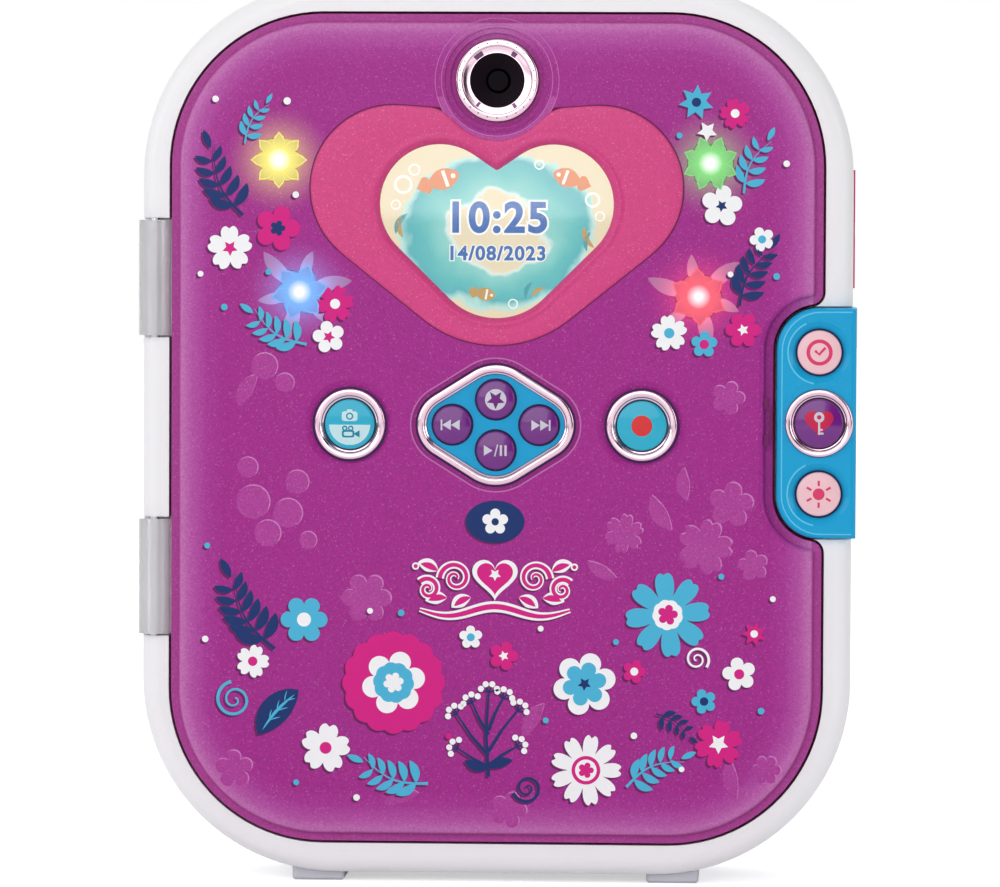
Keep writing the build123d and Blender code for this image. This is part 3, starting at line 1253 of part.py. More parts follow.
# ---------------------------------------------------------------- write every node
def nodes():
    """Every node's name and its solid or list of solids."""
    heights = latch_heights()
    cap_y = FACE_Y - LID_CAP_PROUD
    table = {
        "case_front_frame": make_front_frame(), "case_rear_shell": make_rear_shell(),
        "inner_tray": make_inner_tray(), "feet": make_feet(), "hinge_pins": make_hinge_pins(),
        "case_screws": make_case_screws(), "battery_door": make_battery_door(),
        "battery_door_screws": make_battery_door_screws(), "battery_cells": make_battery_cells(),
        "battery_springs": make_battery_springs(), "battery_plates": make_battery_plates(),
        "speaker": make_speaker(), "notepad_cover": make_notepad_cover(),
        "notepad_pages": make_notepad_pages(), "pen_barrel": make_pen_barrel(),
        "pen_cap": make_pen_cap(), "latch_housing": make_latch_housing(),
        "key_ring": make_key_ring(), "latch_board": make_latch_board(),
        "latch_switches": make_latch_switches(), "lock_bolt": make_lock_bolt(),
        "lock_pinion": make_lock_pinion(), "lock_motor": make_lock_motor(),
        "port_cover": make_port_cover(), "port_board": make_port_board(),
        "port_sockets": make_port_sockets(), "lid_cover": make_lid_cover(),
        "lid_hinge_knuckles": make_hinge_knuckles(), "lid_inner_panel": make_lid_panel(),
        "lid_keeper": make_lid_keeper(), "lid_screws": make_lid_screws(),
        "heart_bezel": make_heart_bezel(), "display_window": make_display_window(),
        "display_panel": make_display_panel(), "camera_ring": make_camera_ring(),
        "camera_barrel": make_camera_barrel(), "camera_lens": make_camera_lens(),
        "camera_sensor": make_camera_sensor(), "nav_bezel": make_nav_bezel(),
        "nav_plate": make_nav_plate(), "photo_ring": make_side_ring(-1),
        "record_ring": make_side_ring(1), "flower_windows": make_flower_windows(),
        "flower_leds": make_flower_leds(), "led_strips": make_led_strips(),
        "lid_main_board": make_main_board(), "lid_switches": make_lid_switches(),
        "microphone": make_microphone()}
    table["key_button"] = push_button(LATCH_BUTTON_X, heights["key"], KEY_BUTTON_R, -REAR_Y, HOUSING_PANEL_Y)
    for name in ("clock", "light"):
        table[name + "_button"] = push_button(
            LATCH_BUTTON_X, heights[name], LATCH_BUTTON_R, HOUSING_FRONT_Y - LID_CAP_PROUD, HOUSING_PANEL_Y)
    for name, (x, rise) in nav_buttons().items():
        table[name + "_button"] = push_button(x, NAV_Z + rise, NAV_BUTTON_R, cap_y, NAV_PANEL_Y)
    for name, side in (("photo", -1), ("record", 1)):
        table[name + "_button"] = push_button(
            side * SIDE_BUTTON_X, NAV_Z, SIDE_BUTTON_R, cap_y, COVER_BACK_Y + SIDE_BOSS_T)
    return table


def main():
    os.makedirs("parts", exist_ok=True)
    for name, shape in nodes().items():
        if isinstance(shape, list):
            shape = Compound([solid for piece in shape for solid in piece.solids()])
        export_step(shape, f"parts/{name}.step")


main()
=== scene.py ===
# %% [markdown]
# # Electronic secret diary
# The imported model is the fixed frame: every solid keeps its size and place, and this lesson dresses it.
# We load it and note where each piece lies, so that later cells can refer to nodes by name.

import json
import math

import bmesh
import bpy
import numpy as np
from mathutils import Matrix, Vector


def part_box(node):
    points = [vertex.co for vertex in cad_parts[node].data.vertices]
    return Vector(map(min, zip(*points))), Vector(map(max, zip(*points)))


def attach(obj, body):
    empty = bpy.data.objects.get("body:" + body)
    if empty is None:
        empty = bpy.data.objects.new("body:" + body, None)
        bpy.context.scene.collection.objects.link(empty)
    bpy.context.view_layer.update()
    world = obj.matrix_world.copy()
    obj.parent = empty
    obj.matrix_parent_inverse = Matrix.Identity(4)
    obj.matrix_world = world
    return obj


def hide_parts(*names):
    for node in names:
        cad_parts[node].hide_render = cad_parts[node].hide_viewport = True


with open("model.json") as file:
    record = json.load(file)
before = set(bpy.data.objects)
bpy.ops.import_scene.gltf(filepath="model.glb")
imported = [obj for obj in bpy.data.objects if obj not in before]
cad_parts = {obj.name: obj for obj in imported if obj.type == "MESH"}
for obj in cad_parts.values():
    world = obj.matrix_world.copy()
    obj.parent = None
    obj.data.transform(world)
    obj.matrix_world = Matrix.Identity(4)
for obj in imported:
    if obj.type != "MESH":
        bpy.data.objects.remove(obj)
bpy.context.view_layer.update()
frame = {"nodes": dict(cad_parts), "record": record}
MM = 0.001


def box_mm(node):
    """Lowest and highest corner of a node in millimetres."""
    low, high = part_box(node)
    return np.array(low) / MM, np.array(high) / MM


def box_and_middle(node):
    """The two corners and the point halfway between them."""
    low, high = box_mm(node)
    return low, high, (low + high) / 2


FACE_Y = box_mm("lid_cover")[0][1]
BEZEL_Y = box_mm("heart_bezel")[0][1]
print("nodes", len(frame["nodes"]), "lid face at", round(FACE_Y, 2), "mm")

# %% [markdown]
# ## Camera
# A product photograph like this one is taken with a long lens from a little above and to the right.
# A long lens keeps the sides parallel. We aim at the middle of the picture and set the focal length so
# that one pixel is the same number of millimetres on the lid's face as in the photograph.

# %% Camera
IMAGE_WIDTH = 1000
PIXEL_MM = 0.2716
AIM_X, AIM_Z = 1.22, 120.3
CAMERA_DISTANCE = 1500.0
CAMERA_YAW = math.radians(2.6)
CAMERA_PITCH = math.radians(2.2)
CAMERA_ROLL = math.radians(0.25)
SENSOR = 36.0

camera_data = bpy.data.cameras.new("camera")
camera_data.sensor_width = SENSOR
camera_data.lens = SENSOR * CAMERA_DISTANCE / (IMAGE_WIDTH * PIXEL_MM)
camera_data.clip_end = 20.0
camera = bpy.data.objects.new("camera", camera_data)
bpy.context.collection.objects.link(camera)
aim = Vector((AIM_X, FACE_Y, AIM_Z)) * MM
away = Vector((math.sin(CAMERA_YAW) * math.cos(CAMERA_PITCH), -math.cos(CAMERA_YAW) * math.cos(CAMERA_PITCH),
               math.sin(CAMERA_PITCH)))
camera.location = aim + away * CAMERA_DISTANCE * MM
camera.rotation_euler = away.to_track_quat("Z", "Y").to_euler()
camera.rotation_euler.rotate_axis("Z", CAMERA_ROLL)
bpy.context.scene.camera = camera
print("lens", round(camera_data.lens, 1), "mm")

# %% [markdown]
# ## Colours
# Colours are noted as on a paint card, in display values, and turned into the linear values that
# shaders use.

# %% Colours


def paint(code, alpha=1.0):
    """Display colour to linear: c/12.92 near black, else ((c + 0.055) / 1.055) to the power 2.4."""
    c = np.array([int(code[i:i + 2], 16) for i in (0, 2, 4)]) / 255
    linear = np.where(c <= 0.04045, c / 12.92, ((c + 0.055) / 1.055) ** 2.4)
    return (*(float(v) for v in linear), alpha)


WHITE = paint("F7F6F8")
PURPLE = paint("A42A8C")
# painted rim light of the lid: the highlight band and the flange tone; PURPLE is the lid's own colour
PURPLE_RIM_HIGHLIGHT = paint("C272B2")
PURPLE_FLANGE = paint("AE4396")
PURPLE_SOFT = paint("A83590")
PAINTED_SHADOW_PURPLE = paint("6A1A5E")
BUTTON_PURPLE = paint("701F82")
HEART_PINK = paint("D64585")
TRAY_PINK = paint("E0679B")
BLUE = paint("08A4D8")
PEARL = paint("F4C6CE")
CYAN_CAP = paint("1FB0CF")
PRINT_WHITE = paint("FBFBFD")
PRINT_MAGENTA = paint("D81F86")
PRINT_CYAN = paint("4DB8DC")
PRINT_NAVY = paint("14306B")
PRINT_RED = paint("D63A46")
ICON_GREY = paint("D3CFDC")
ICON_ROSE = paint("E0406E")
print("colours ready")

# %% [markdown]
# ## Shared effects
# Four effects come back in many finishes, so each is one node group: moulded grain, glitter flakes in
# clear plastic, the distance from a rounded edge, and the glow round a lamp. A group only puts out
# colours and values; the shader itself stays in each material.

# %% Node helpers


def new_group(name, inputs, outputs):
    """Empty shader group with named sockets; inputs are (name, type, default)."""
    group = bpy.data.node_groups.new(name, "ShaderNodeTree")
    for socket, kind, default in inputs:
        made = group.interface.new_socket(socket, in_out="INPUT", socket_type=kind)
        made.default_value = default
    for socket, kind in outputs:
        group.interface.new_socket(socket, in_out="OUTPUT", socket_type=kind)
    return group, group.nodes.new("NodeGroupInput"), group.nodes.new("NodeGroupOutput")


def plug(tree, value, socket):
    """Joins an output, or writes a plain value."""
    if isinstance(value, bpy.types.NodeSocket):
        tree.links.new(value, socket)
    else:
        socket.default_value = value


def math_node(tree, kind, *values, clamp=False):
    """Output of a Math node whose inputs are outputs or plain values."""
    node = tree.nodes.new("ShaderNodeMath")
    node.operation = kind
    node.use_clamp = clamp
    for value, socket in zip(values, node.inputs):
        plug(tree, value, socket)
    return node.outputs[0]


def vector_node(tree, kind, *values, out=0):
    """Output of a Vector Math node; out 1 is the number that DISTANCE and LENGTH give."""
    node = tree.nodes.new("ShaderNodeVectorMath")
    node.operation = kind
    for value, socket in zip(values, node.inputs):
        plug(tree, value, socket)
    return node.outputs[out]


def mix_colour(tree, factor, first, second, blend="MIX"):
    """Colour between the first and the second by a factor."""
    node = tree.nodes.new("ShaderNodeMix")
    node.data_type = "RGBA"
    node.blend_type = blend
    plug(tree, factor, node.inputs["Factor"])
    plug(tree, first, node.inputs[6])
    plug(tree, second, node.inputs[7])
    return node.outputs[2]


def noise(tree, place, scale, detail=2.0, roughness=0.5):
    """Noise between 0 and 1 at a place."""
    node = tree.nodes.new("ShaderNodeTexNoise")
    plug(tree, place, node.inputs["Vector"])
    plug(tree, scale, node.inputs["Scale"])
    node.inputs["Detail"].default_value = detail
    node.inputs["Roughness"].default_value = roughness
    return node.outputs["Fac"]


def centred(tree, value):
    """A value from 0 to 1 moved to -0.5 to 0.5."""
    return math_node(tree, "SUBTRACT", value, 0.5)


def scaled(tree, vector, share):
    """Vector or colour times a number."""
    product = vector_node(tree, "SCALE", vector)
    plug(tree, share, product.node.inputs["Scale"])
    return product


def colour_ramp(tree, factor, first, last, stops):
    """Colour along a factor: first at 0, last at 1, and stops of (factor, colour) between."""
    ramp = tree.nodes.new("ShaderNodeValToRGB")
    plug(tree, factor, ramp.inputs["Fac"])
    ramp.color_ramp.elements[0].color = first
    ramp.color_ramp.elements[1].color = last
    for at, colour in stops:
        stop = ramp.color_ramp.elements.new(at)
        stop.color = colour
    return ramp.outputs["Color"]


def object_place(tree):
    """The piece's own coordinates, in metres."""
    return tree.nodes.new("ShaderNodeTexCoord").outputs["Object"]


print("node helpers ready")

# %% [markdown]
# ### Grain
# Moulded plastic is never quite even: its colour drifts by a per cent or two over centimetres, and the
# mould's texture gives it a fine grain. Two noises of different size do this without any image.

# %% Moulded grain
FLOAT, COLOUR, VECTOR = "NodeSocketFloat", "NodeSocketColor", "NodeSocketVector"


def make_grain_group():
    """Colour drifts slowly and roughness varies finely, as on any moulded surface that has been handled."""
    group, source, sink = new_group(
        "MouldedGrain",
        [("Colour", COLOUR, (1, 1, 1, 1)), ("Drift", FLOAT, 0.04), ("Grain", FLOAT, 2500.0),
         ("Roughness", FLOAT, 0.35), ("Wear", FLOAT, 0.08)],
        [("Colour", COLOUR), ("Roughness", FLOAT), ("Height", FLOAT)])
    place = object_place(group)
    slow = noise(group, place, 18.0)
    fine = noise(group, place, source.outputs["Grain"], 3.0, 0.6)
    smear = noise(group, place, 60.0, 5.0, 0.65)
    swing = math_node(group, "MULTIPLY", centred(group, slow), source.outputs["Drift"])
    speck = math_node(group, "MULTIPLY", centred(group, fine),
                      math_node(group, "MULTIPLY", source.outputs["Drift"], 0.8))
    shade = math_node(group, "ADD", 1.0, math_node(group, "ADD", swing, speck))
    group.links.new(scaled(group, source.outputs["Colour"], shade), sink.inputs["Colour"])
    rough = math_node(group, "MULTIPLY", centred(group, smear), source.outputs["Wear"])
    group.links.new(math_node(group, "ADD", source.outputs["Roughness"], rough, clamp=True),
                    sink.inputs["Roughness"])
    group.links.new(fine, sink.inputs["Height"])
    return group


GRAIN = make_grain_group()
print("grain sockets", len(GRAIN.interface.items_tree))

# %% [markdown]
# ### Glitter
# Glitter is thousands of small mirrors at random angles. A cell pattern gives each flake one random
# lightness, a painted reflection which is far cheaper than real flakes and looks the same from any side;
# a few per cent of the flakes get a painted glint colour.

# %% Glitter flakes


def make_glitter_group():
    """Flakes as small cells: each takes a random lightness, a painted reflection, and the brightest few per cent
    are a painted glint.
    """
    group, source, sink = new_group(
        "GlitterFlakes",
        [("Colour", COLOUR, (1, 1, 1, 1)), ("Spark", COLOUR, (1, 1, 1, 1)), ("Flakes", FLOAT, 3300.0),
         ("Amount", FLOAT, 0.25)],
        [("Colour", COLOUR), ("Mask", FLOAT), ("Height", FLOAT)])
    place = object_place(group)
    cells = group.nodes.new("ShaderNodeTexVoronoi")
    group.links.new(place, cells.inputs["Vector"])
    group.links.new(source.outputs["Flakes"], cells.inputs["Scale"])
    split = group.nodes.new("ShaderNodeSeparateColor")
    group.links.new(cells.outputs["Color"], split.inputs[0])
    level = split.outputs[0]
    cloud = noise(group, place, 900.0, 2.0)
    swing = math_node(group, "MULTIPLY", centred(group, level), source.outputs["Amount"])
    soft = math_node(group, "MULTIPLY", centred(group, cloud), source.outputs["Amount"])
    shade = math_node(group, "ADD", 1.0, math_node(group, "ADD", swing, soft))
    colour = scaled(group, source.outputs["Colour"], shade)
    # painted glint: a few per cent of the flakes take the glint colour
    rare = math_node(group, "GREATER_THAN", split.outputs[1], 0.94)
    painted_glint = math_node(group, "MULTIPLY", rare, math_node(group, "MULTIPLY", split.outputs[2], 0.2))
    group.links.new(mix_colour(group, painted_glint, colour, source.outputs["Spark"]), sink.inputs["Colour"])
    group.links.new(painted_glint, sink.inputs["Mask"])
    group.links.new(level, sink.inputs["Height"])
    return group


GLITTER = make_glitter_group()
print("glitter sockets", len(GLITTER.interface.items_tree))

# %% [markdown]
# ### Distance from the edge
# The lid's rim has a painted highlight: it is paler where light enters at its rim. The distance to a rounded
# rectangle has a short formula, so no mask image is needed, and it stays right if the lid's size changes.

# %% Edge distance


def make_edge_group():
    """Distance in from the edge of a rounded rectangle in the X-Z plane, 0 at the edge and 1 at Reach.

    With q = |p - middle| - half size + radius, the distance is radius - |max(q, 0)| - min(max(qx, qz), 0)."""
    group, source, sink = new_group(
        "RoundedEdge",
        [("Middle", VECTOR, (0, 0, 0)), ("Half", VECTOR, (0.08, 0, 0.1)), ("Radius", FLOAT, 0.04),
         ("Reach", FLOAT, 0.012)],
        [("Inward", FLOAT)])
    place = object_place(group)
    q = vector_node(group, "SUBTRACT",
                    vector_node(group, "ABSOLUTE", vector_node(group, "SUBTRACT", place,
                                                               source.outputs["Middle"])),
                    source.outputs["Half"])
    split = group.nodes.new("ShaderNodeSeparateXYZ")
    group.links.new(q, split.inputs[0])
    qx = math_node(group, "ADD", split.outputs["X"], source.outputs["Radius"])
    qz = math_node(group, "ADD", split.outputs["Z"], source.outputs["Radius"])
    px = math_node(group, "MAXIMUM", qx, 0.0)
    pz = math_node(group, "MAXIMUM", qz, 0.0)
    corner = math_node(group, "SQRT", math_node(group, "ADD", math_node(group, "MULTIPLY", px, px),
                                               math_node(group, "MULTIPLY", pz, pz)))
    inner = math_node(group, "MINIMUM", math_node(group, "MAXIMUM", qx, qz), 0.0)
    inward = math_node(group, "SUBTRACT", math_node(group, "SUBTRACT", source.outputs["Radius"], corner),
                       inner)
    group.links.new(math_node(group, "DIVIDE", inward, source.outputs["Reach"], clamp=True),
                    sink.inputs["Inward"])
    return group


EDGE = make_edge_group()
print("edge sockets", len(EDGE.interface.items_tree))

# %% [markdown]
# ### Lamp glow
# Four coloured lamps shine through the lid. Their halo is painted as light that fades with the square
# of the distance, because real scattering inside the plastic would take long to render.

# %% Lamp glow

LAMPS = (((-59.2, 197.0), "F2F23C"), ((-53.5, 161.2), "35B6FF"), ((57.9, 196.5), "4CE04A"),
         ((54.9, 160.4), "FF5038"))


def make_glow_group():
    """Sum over the four lamps of colour times (1 - distance / reach) squared."""
    group, source, sink = new_group("LampGlow", [("Reach", FLOAT, 0.012)],
                                    [("Colour", COLOUR), ("Core", FLOAT)])
    place = object_place(group)
    flat = vector_node(group, "MULTIPLY", place, (1, 0, 1))
    total, cores = (0, 0, 0, 1), 0.0
    for (x, z), code in LAMPS:
        away = vector_node(group, "DISTANCE", flat, (x * MM, 0, z * MM), out=1)
        near = math_node(group, "SUBTRACT", 1.0, math_node(group, "DIVIDE", away, source.outputs["Reach"]),
                         clamp=True)
        fall = math_node(group, "MULTIPLY", near, near)
        part = mix_colour(group, fall, (0, 0, 0, 1), paint(code))
        total = mix_colour(group, 1.0, total, part, "ADD")
        cores = math_node(group, "ADD", cores, math_node(group, "MULTIPLY", fall, fall))
    group.links.new(total, sink.inputs["Colour"])
    group.links.new(cores, sink.inputs["Core"])
    return group


GLOW = make_glow_group()
print("groups", [g.name for g in bpy.data.node_groups])

# %% [markdown]
# ## Finishes
# A finish is one Principled shader. What varies over the surface comes from the groups; what is the same
# all over, such as coat, index of refraction or metallic, is written on the shader's own sockets.

# %% Finish helpers


def use_group(tree, group, **values):
    """Places a shared group with its own values."""
    node = tree.nodes.new("ShaderNodeGroup")
    node.node_tree = group
    for name, value in values.items():
        plug(tree, value, node.inputs[name])
    return node


def new_finish(name, **fixed):
    """Material with a Principled shader whose fixed sockets are set by name."""
    material = bpy.data.materials.new(name)
    material.use_nodes = True
    shader = material.node_tree.nodes["Principled BSDF"]
    shader.inputs["Specular IOR Level"].default_value = 0.5 if "Metallic" in fixed else 0.18
    for socket, value in fixed.items():
        shader.inputs[socket.replace("_", " ")].default_value = value
    return material, material.node_tree, shader


def bump(tree, shader, height, strength, distance):
    """Fine relief from a height, by way of the normal."""
    node = tree.nodes.new("ShaderNodeBump")
    node.inputs["Strength"].default_value = strength
    node.inputs["Distance"].default_value = distance
    tree.links.new(height, node.inputs["Height"])
    tree.links.new(node.outputs["Normal"], shader.inputs["Normal"])


def skin(tree, shader, **values):
    """Grain in the base colour and the roughness."""
    grain = use_group(tree, GRAIN, **values)
    tree.links.new(grain.outputs["Colour"], shader.inputs["Base Color"])
    tree.links.new(grain.outputs["Roughness"], shader.inputs["Roughness"])
    return grain


def moulded(name, colour, roughness=0.35, drift=0.04, wear=0.1, grain=2500.0, depth=0.00001, **fixed):
    """Moulded plastic, rubber, card or metal, by its colour and roughness."""
    material, tree, shader = new_finish(name, **fixed)
    node = skin(tree, shader, Colour=colour, Drift=drift, Grain=grain, Roughness=roughness, Wear=wear)
    bump(tree, shader, node.outputs["Height"], 0.25, depth)
    return material


def glittered(name, colour, painted_glint, amount=0.25, roughness=0.3, flakes=3300.0, **fixed):
    """Clear plastic with flakes under a smooth surface; the flakes carry painted reflections and glints."""
    material, tree, shader = new_finish(name, **fixed)
    node = use_group(tree, GLITTER, Colour=colour, Spark=painted_glint, Flakes=flakes, Amount=amount)
    grain = use_group(tree, GRAIN, Roughness=roughness, Wear=0.12, Drift=0.0)
    tree.links.new(node.outputs["Colour"], shader.inputs["Base Color"])
    tree.links.new(grain.outputs["Roughness"], shader.inputs["Roughness"])
    bump(tree, shader, node.outputs["Height"], 0.12, 0.00002)
    return material, tree, shader, node


def metal(name, colour, roughness=0.12, drift=0.05, **fixed):
    """Plated or bare metal: the same grain, but finer."""
    return moulded(name, colour, roughness, drift, 0.06, 4000.0, 0.000004, Metallic=1.0, **fixed)


print("finish helpers ready")

# %% [markdown]
# ## The purple lid
# The cover is clear purple plastic full of fine glitter. Light enters at its rim, so the outer centimetre is
# painted lighter as a highlight, and the four lamps shine through it. The edge distance mixes the two purples
# and the painted lamp glow goes to the emission colour.

# %% Lid finish
LID_LOW, LID_HIGH = box_mm("lid_cover")
LID_CORNER = 41.5


def make_lid_finish():
    """Glitter with a painted highlight, paler near the rim, and the painted glow of the lamps in it."""
    material, tree, shader, flakes = glittered("lid_glitter", PURPLE, paint("F3B8E4"), 0.26, 0.34,
                                               Specular_IOR_Level=0.14, Coat_Weight=0.06, Coat_Roughness=0.16)
    middle = (LID_LOW + LID_HIGH) / 2 * MM
    half = (LID_HIGH - LID_LOW) / 2 * MM
    edge = use_group(tree, EDGE, Middle=(middle[0], 0, middle[2]), Half=(half[0], 0, half[2]),
                     Radius=LID_CORNER * MM, Reach=0.0145)
    # painted rim light: flange tone at the very edge, then a painted highlight band fading to the lid's purple
    stops = ((0.165, PURPLE_FLANGE), (0.2, PURPLE_RIM_HIGHLIGHT), (0.4, paint("B552A4")), (0.68, paint("A93694")))
    tree.links.new(colour_ramp(tree, edge.outputs["Inward"], PURPLE_FLANGE, PURPLE, stops),
                   flakes.inputs["Colour"])
    glow = use_group(tree, GLOW, Reach=0.0155)
    tree.links.new(glow.outputs["Colour"], shader.inputs["Emission Color"])
    shader.inputs["Emission Strength"].default_value = 0.8
    return material


finishes = {"purple_plastic": make_lid_finish()}
print("lid finish ready")

# %% [markdown]
# ## Plain finishes
# The other slots of the record are moulded plastics, metals, rubber, card and paper.

# %% Slot finishes


def make_heart_finish():
    """Pink plastic with sparser glitter."""
    return glittered("heart_glitter", HEART_PINK, paint("FFC6DA"), 0.14, 0.36, Coat_Weight=0.1,
                     Coat_Roughness=0.2)[0]


def make_clear_finish():
    """Milky clear plastic of the hinge knuckles."""
    material, tree, shader = new_finish("clear_plastic", IOR=1.46, Transmission_Weight=0.55, Coat_Weight=0.6)
    skin(tree, shader, Colour=paint("F1F0F2"), Drift=0.05, Roughness=0.14, Wear=0.12)
    return material


def make_window_finish():
    """Clear window over the display."""
    material, tree, shader = new_finish("display_window", IOR=1.45, Transmission_Weight=1.0)
    skin(tree, shader, Colour=(1, 1, 1, 1), Drift=0.0, Roughness=0.03, Wear=0.03)
    return material


def make_petal_finish(name="lit_petals", strength=1.3):
    """Clear petals lit from behind: lamp colour, white where the lamp is nearest."""
    material, tree, shader = new_finish(name, IOR=1.46, Coat_Weight=0.1)
    glow = use_group(tree, GLOW, Reach=0.021)
    core = math_node(tree, "MULTIPLY", math_node(tree, "SUBTRACT", glow.outputs["Core"], 0.5), 2.6,
                     clamp=True)
    lit = mix_colour(tree, core, glow.outputs["Colour"], (0.8, 0.8, 0.8, 1))
    tree.links.new(lit, shader.inputs["Emission Color"])
    shader.inputs["Emission Strength"].default_value = strength
    skin(tree, shader, Colour=paint("7A4A74"), Roughness=0.3)
    return material


print("clear finishes ready")

# %% [markdown]
# ### Cells and paper
# A battery's sleeve has two colours along its length, and a block of pages shows its sheets as lines.
# Both follow from the place on the piece, so no drawn label is needed.

# %% Cell and page finishes


def make_cell_finish():
    """Battery sleeve: dark with a copper-coloured end, split across its length where X passes -4 mm."""
    material, tree, shader = new_finish("cell_sleeve")
    place = object_place(tree)
    split = tree.nodes.new("ShaderNodeSeparateXYZ")
    tree.links.new(place, split.inputs[0])
    end = math_node(tree, "GREATER_THAN", split.outputs["X"], -0.004)
    skin(tree, shader, Colour=mix_colour(tree, end, paint("2A2B30"), paint("B87846")), Roughness=0.25)
    return material


def make_page_finish():
    """Paper edges: fine lines between the sheets, by a wave across the block."""
    material, tree, shader = new_finish("paper_pages")
    wave = tree.nodes.new("ShaderNodeTexWave")
    wave.bands_direction = "Y"
    tree.links.new(object_place(tree), wave.inputs["Vector"])
    wave.inputs["Scale"].default_value = 900.0
    wave.inputs["Distortion"].default_value = 1.5
    sheet = mix_colour(tree, wave.outputs["Fac"], paint("E4DCCB"), paint("F7F3E9"))
    skin(tree, shader, Colour=sheet, Roughness=0.85)
    bump(tree, shader, wave.outputs["Fac"], 0.4, 0.00004)
    return material


print("cell and page finishes ready")

# %% [markdown]
# ### One finish for each slot
# The record names a material slot for each node. Here every slot gets its finish: pale shells are nearly
# matt, caps have a clear coat, and rubber is rough.

# %% Slots
finishes.update({
    "white_plastic": moulded("white_shell", WHITE, 0.32, 0.02, 0.12, Coat_Weight=0.1),
    "heart_pink": make_heart_finish(),
    "tray_pink": moulded("tray_satin", TRAY_PINK, 0.45, 0.05, 0.12, 1400.0, 0.00003),
    "blue_plastic": moulded("latch_blue", BLUE, 0.28, 0.03, 0.1, Coat_Weight=0.1),
    "clear_plastic": make_clear_finish(),
    "flower_plastic": make_petal_finish(),
    "chrome": metal("chrome_rose", paint("CDB2BF"), 0.10),
    "steel": metal("steel_pin", paint("B9BCC2"), 0.28),
    "black_plastic": moulded("black_matt", paint("10030F"), 0.5, 0.1, 0.15, Specular_IOR_Level=0.08),
    "lens_glass": moulded("lens_coated", paint("0A020C"), 0.12, 0.1, 0.03, Specular_IOR_Level=0.03),
    "display_glass": moulded("display_glass", paint("66C6C4"), 0.1),
    "circuit_board": moulded("solder_mask", paint("1E6B42"), 0.35, 0.2),
    "foot_rubber": moulded("foot_rubber", paint("C9C9D1"), 0.75, 0.08, 0.15, 1200.0, 0.00005),
    "pink_rubber": moulded("flap_rubber", paint("E0457F"), 0.6, 0.06, 0.15, 1500.0, 0.00004),
    "card": moulded("pad_card", paint("C56BB4"), 0.55, 0.06, 0.1, 1800.0, 0.00003),
    "paper": make_page_finish(),
    "cell_wrap": make_cell_finish(),
    "pen_plastic": moulded("pen_plastic", PURPLE_SOFT, 0.22, 0.04, 0.08, Coat_Weight=0.4),
    "bolt_plastic": moulded("bolt_red", paint("8A1236"), 0.4, 0.08),
    "gear_plastic": moulded("gear_white", paint("EDEDE6"), 0.45, 0.05),
    "button_pink": moulded("cap_pearl", PEARL, 0.26, 0.06, 0.08, Coat_Weight=0.25),
    "button_purple": moulded("cap_purple", BUTTON_PURPLE, 0.2, 0.06, 0.08, Coat_Weight=0.45),
    "button_cyan": moulded("cap_cyan", CYAN_CAP, 0.22, 0.05, 0.08, Coat_Weight=0.3),
})
finishes["window"] = make_window_finish()

for part in frame["record"]["subparts"]:
    node = frame["nodes"][part["node"]]
    finish = finishes["window"] if part["node"] == "display_window" else finishes[part["material_slot"]]
    for slot in node.material_slots:
        slot.material = finish
print("finishes", len(finishes), "on", len(frame["nodes"]), "nodes")

# %% [markdown]
# ## Surfaces by formula
# Every new piece is a surface over two numbers. A grid of points becomes a mesh: neighbours make
# four-sided faces, doubled points at a pole or seam are merged, and all faces are turned outwards.

# %% Mesh helpers


def grid_faces(rows, columns, close_rows=False, close_columns=False):
    """Quads between neighbours of a rows x columns grid, closed round either way if asked."""
    i = np.arange(rows if close_rows else rows - 1)[:, None]
    j = np.arange(columns if close_columns else columns - 1)[None, :]
    a = i * columns + j
    b = i * columns + (j + 1) % columns
    c = ((i + 1) % rows) * columns + (j + 1) % columns
    d = ((i + 1) % rows) * columns + j
    return np.stack(np.broadcast_arrays(a, b, c, d), axis=-1).reshape(-1, 4)


def gather(parts):
    """Several (points, faces) patches as one."""
    counts = np.cumsum([0] + [len(points) for points, _ in parts[:-1]])
    points = np.concatenate([points for points, _ in parts])
    faces = np.concatenate([faces + first for (_, faces), first in zip(parts, counts)])
    return points, faces


def add_piece(name, patch, body, material, closed=True, angle=40.0, facing=-1):
    """Mesh piece from points in millimetres; a closed shell is turned outwards, an open one along facing * Y."""
    points, faces = patch
    mesh = bpy.data.meshes.new(name)
    mesh.from_pydata((np.asarray(points) * MM).tolist(), [], np.asarray(faces).tolist())
    work = bmesh.new()
    work.from_mesh(mesh)
    bmesh.ops.remove_doubles(work, verts=work.verts, dist=1e-7)
    bmesh.ops.dissolve_degenerate(work, dist=1e-8, edges=work.edges)
    if closed:
        bmesh.ops.recalc_face_normals(work, faces=work.faces)
    work.to_mesh(mesh)
    work.free()
    if not closed:
        normals = np.zeros(len(mesh.polygons) * 3)
        areas = np.zeros(len(mesh.polygons))
        mesh.polygons.foreach_get("normal", normals)
        mesh.polygons.foreach_get("area", areas)
        if (normals.reshape(-1, 3)[:, 1] * areas).sum() * facing < 0:
            mesh.flip_normals()
    mesh.shade_smooth()
    mesh.set_sharp_from_angle(angle=math.radians(angle))
    mesh.materials.append(material)
    piece = bpy.data.objects.new(name, mesh)
    bpy.context.collection.objects.link(piece)
    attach(piece, body)
    return piece


def turned(profile, x, z, steps=96):
    """Profile of (radius, y) turned about an axis along Y: X = x + r cos t, Z = z + r sin t."""
    profile = np.array(profile, dtype=float)
    t = np.linspace(0, 2 * math.pi, steps, endpoint=False)[:, None]
    r, y = profile[:, 0][None, :], profile[:, 1][None, :]
    points = np.stack([x + r * np.cos(t), y + 0 * t, z + r * np.sin(t)], axis=-1).reshape(-1, 3)
    return points, grid_faces(steps, len(profile), close_rows=True)


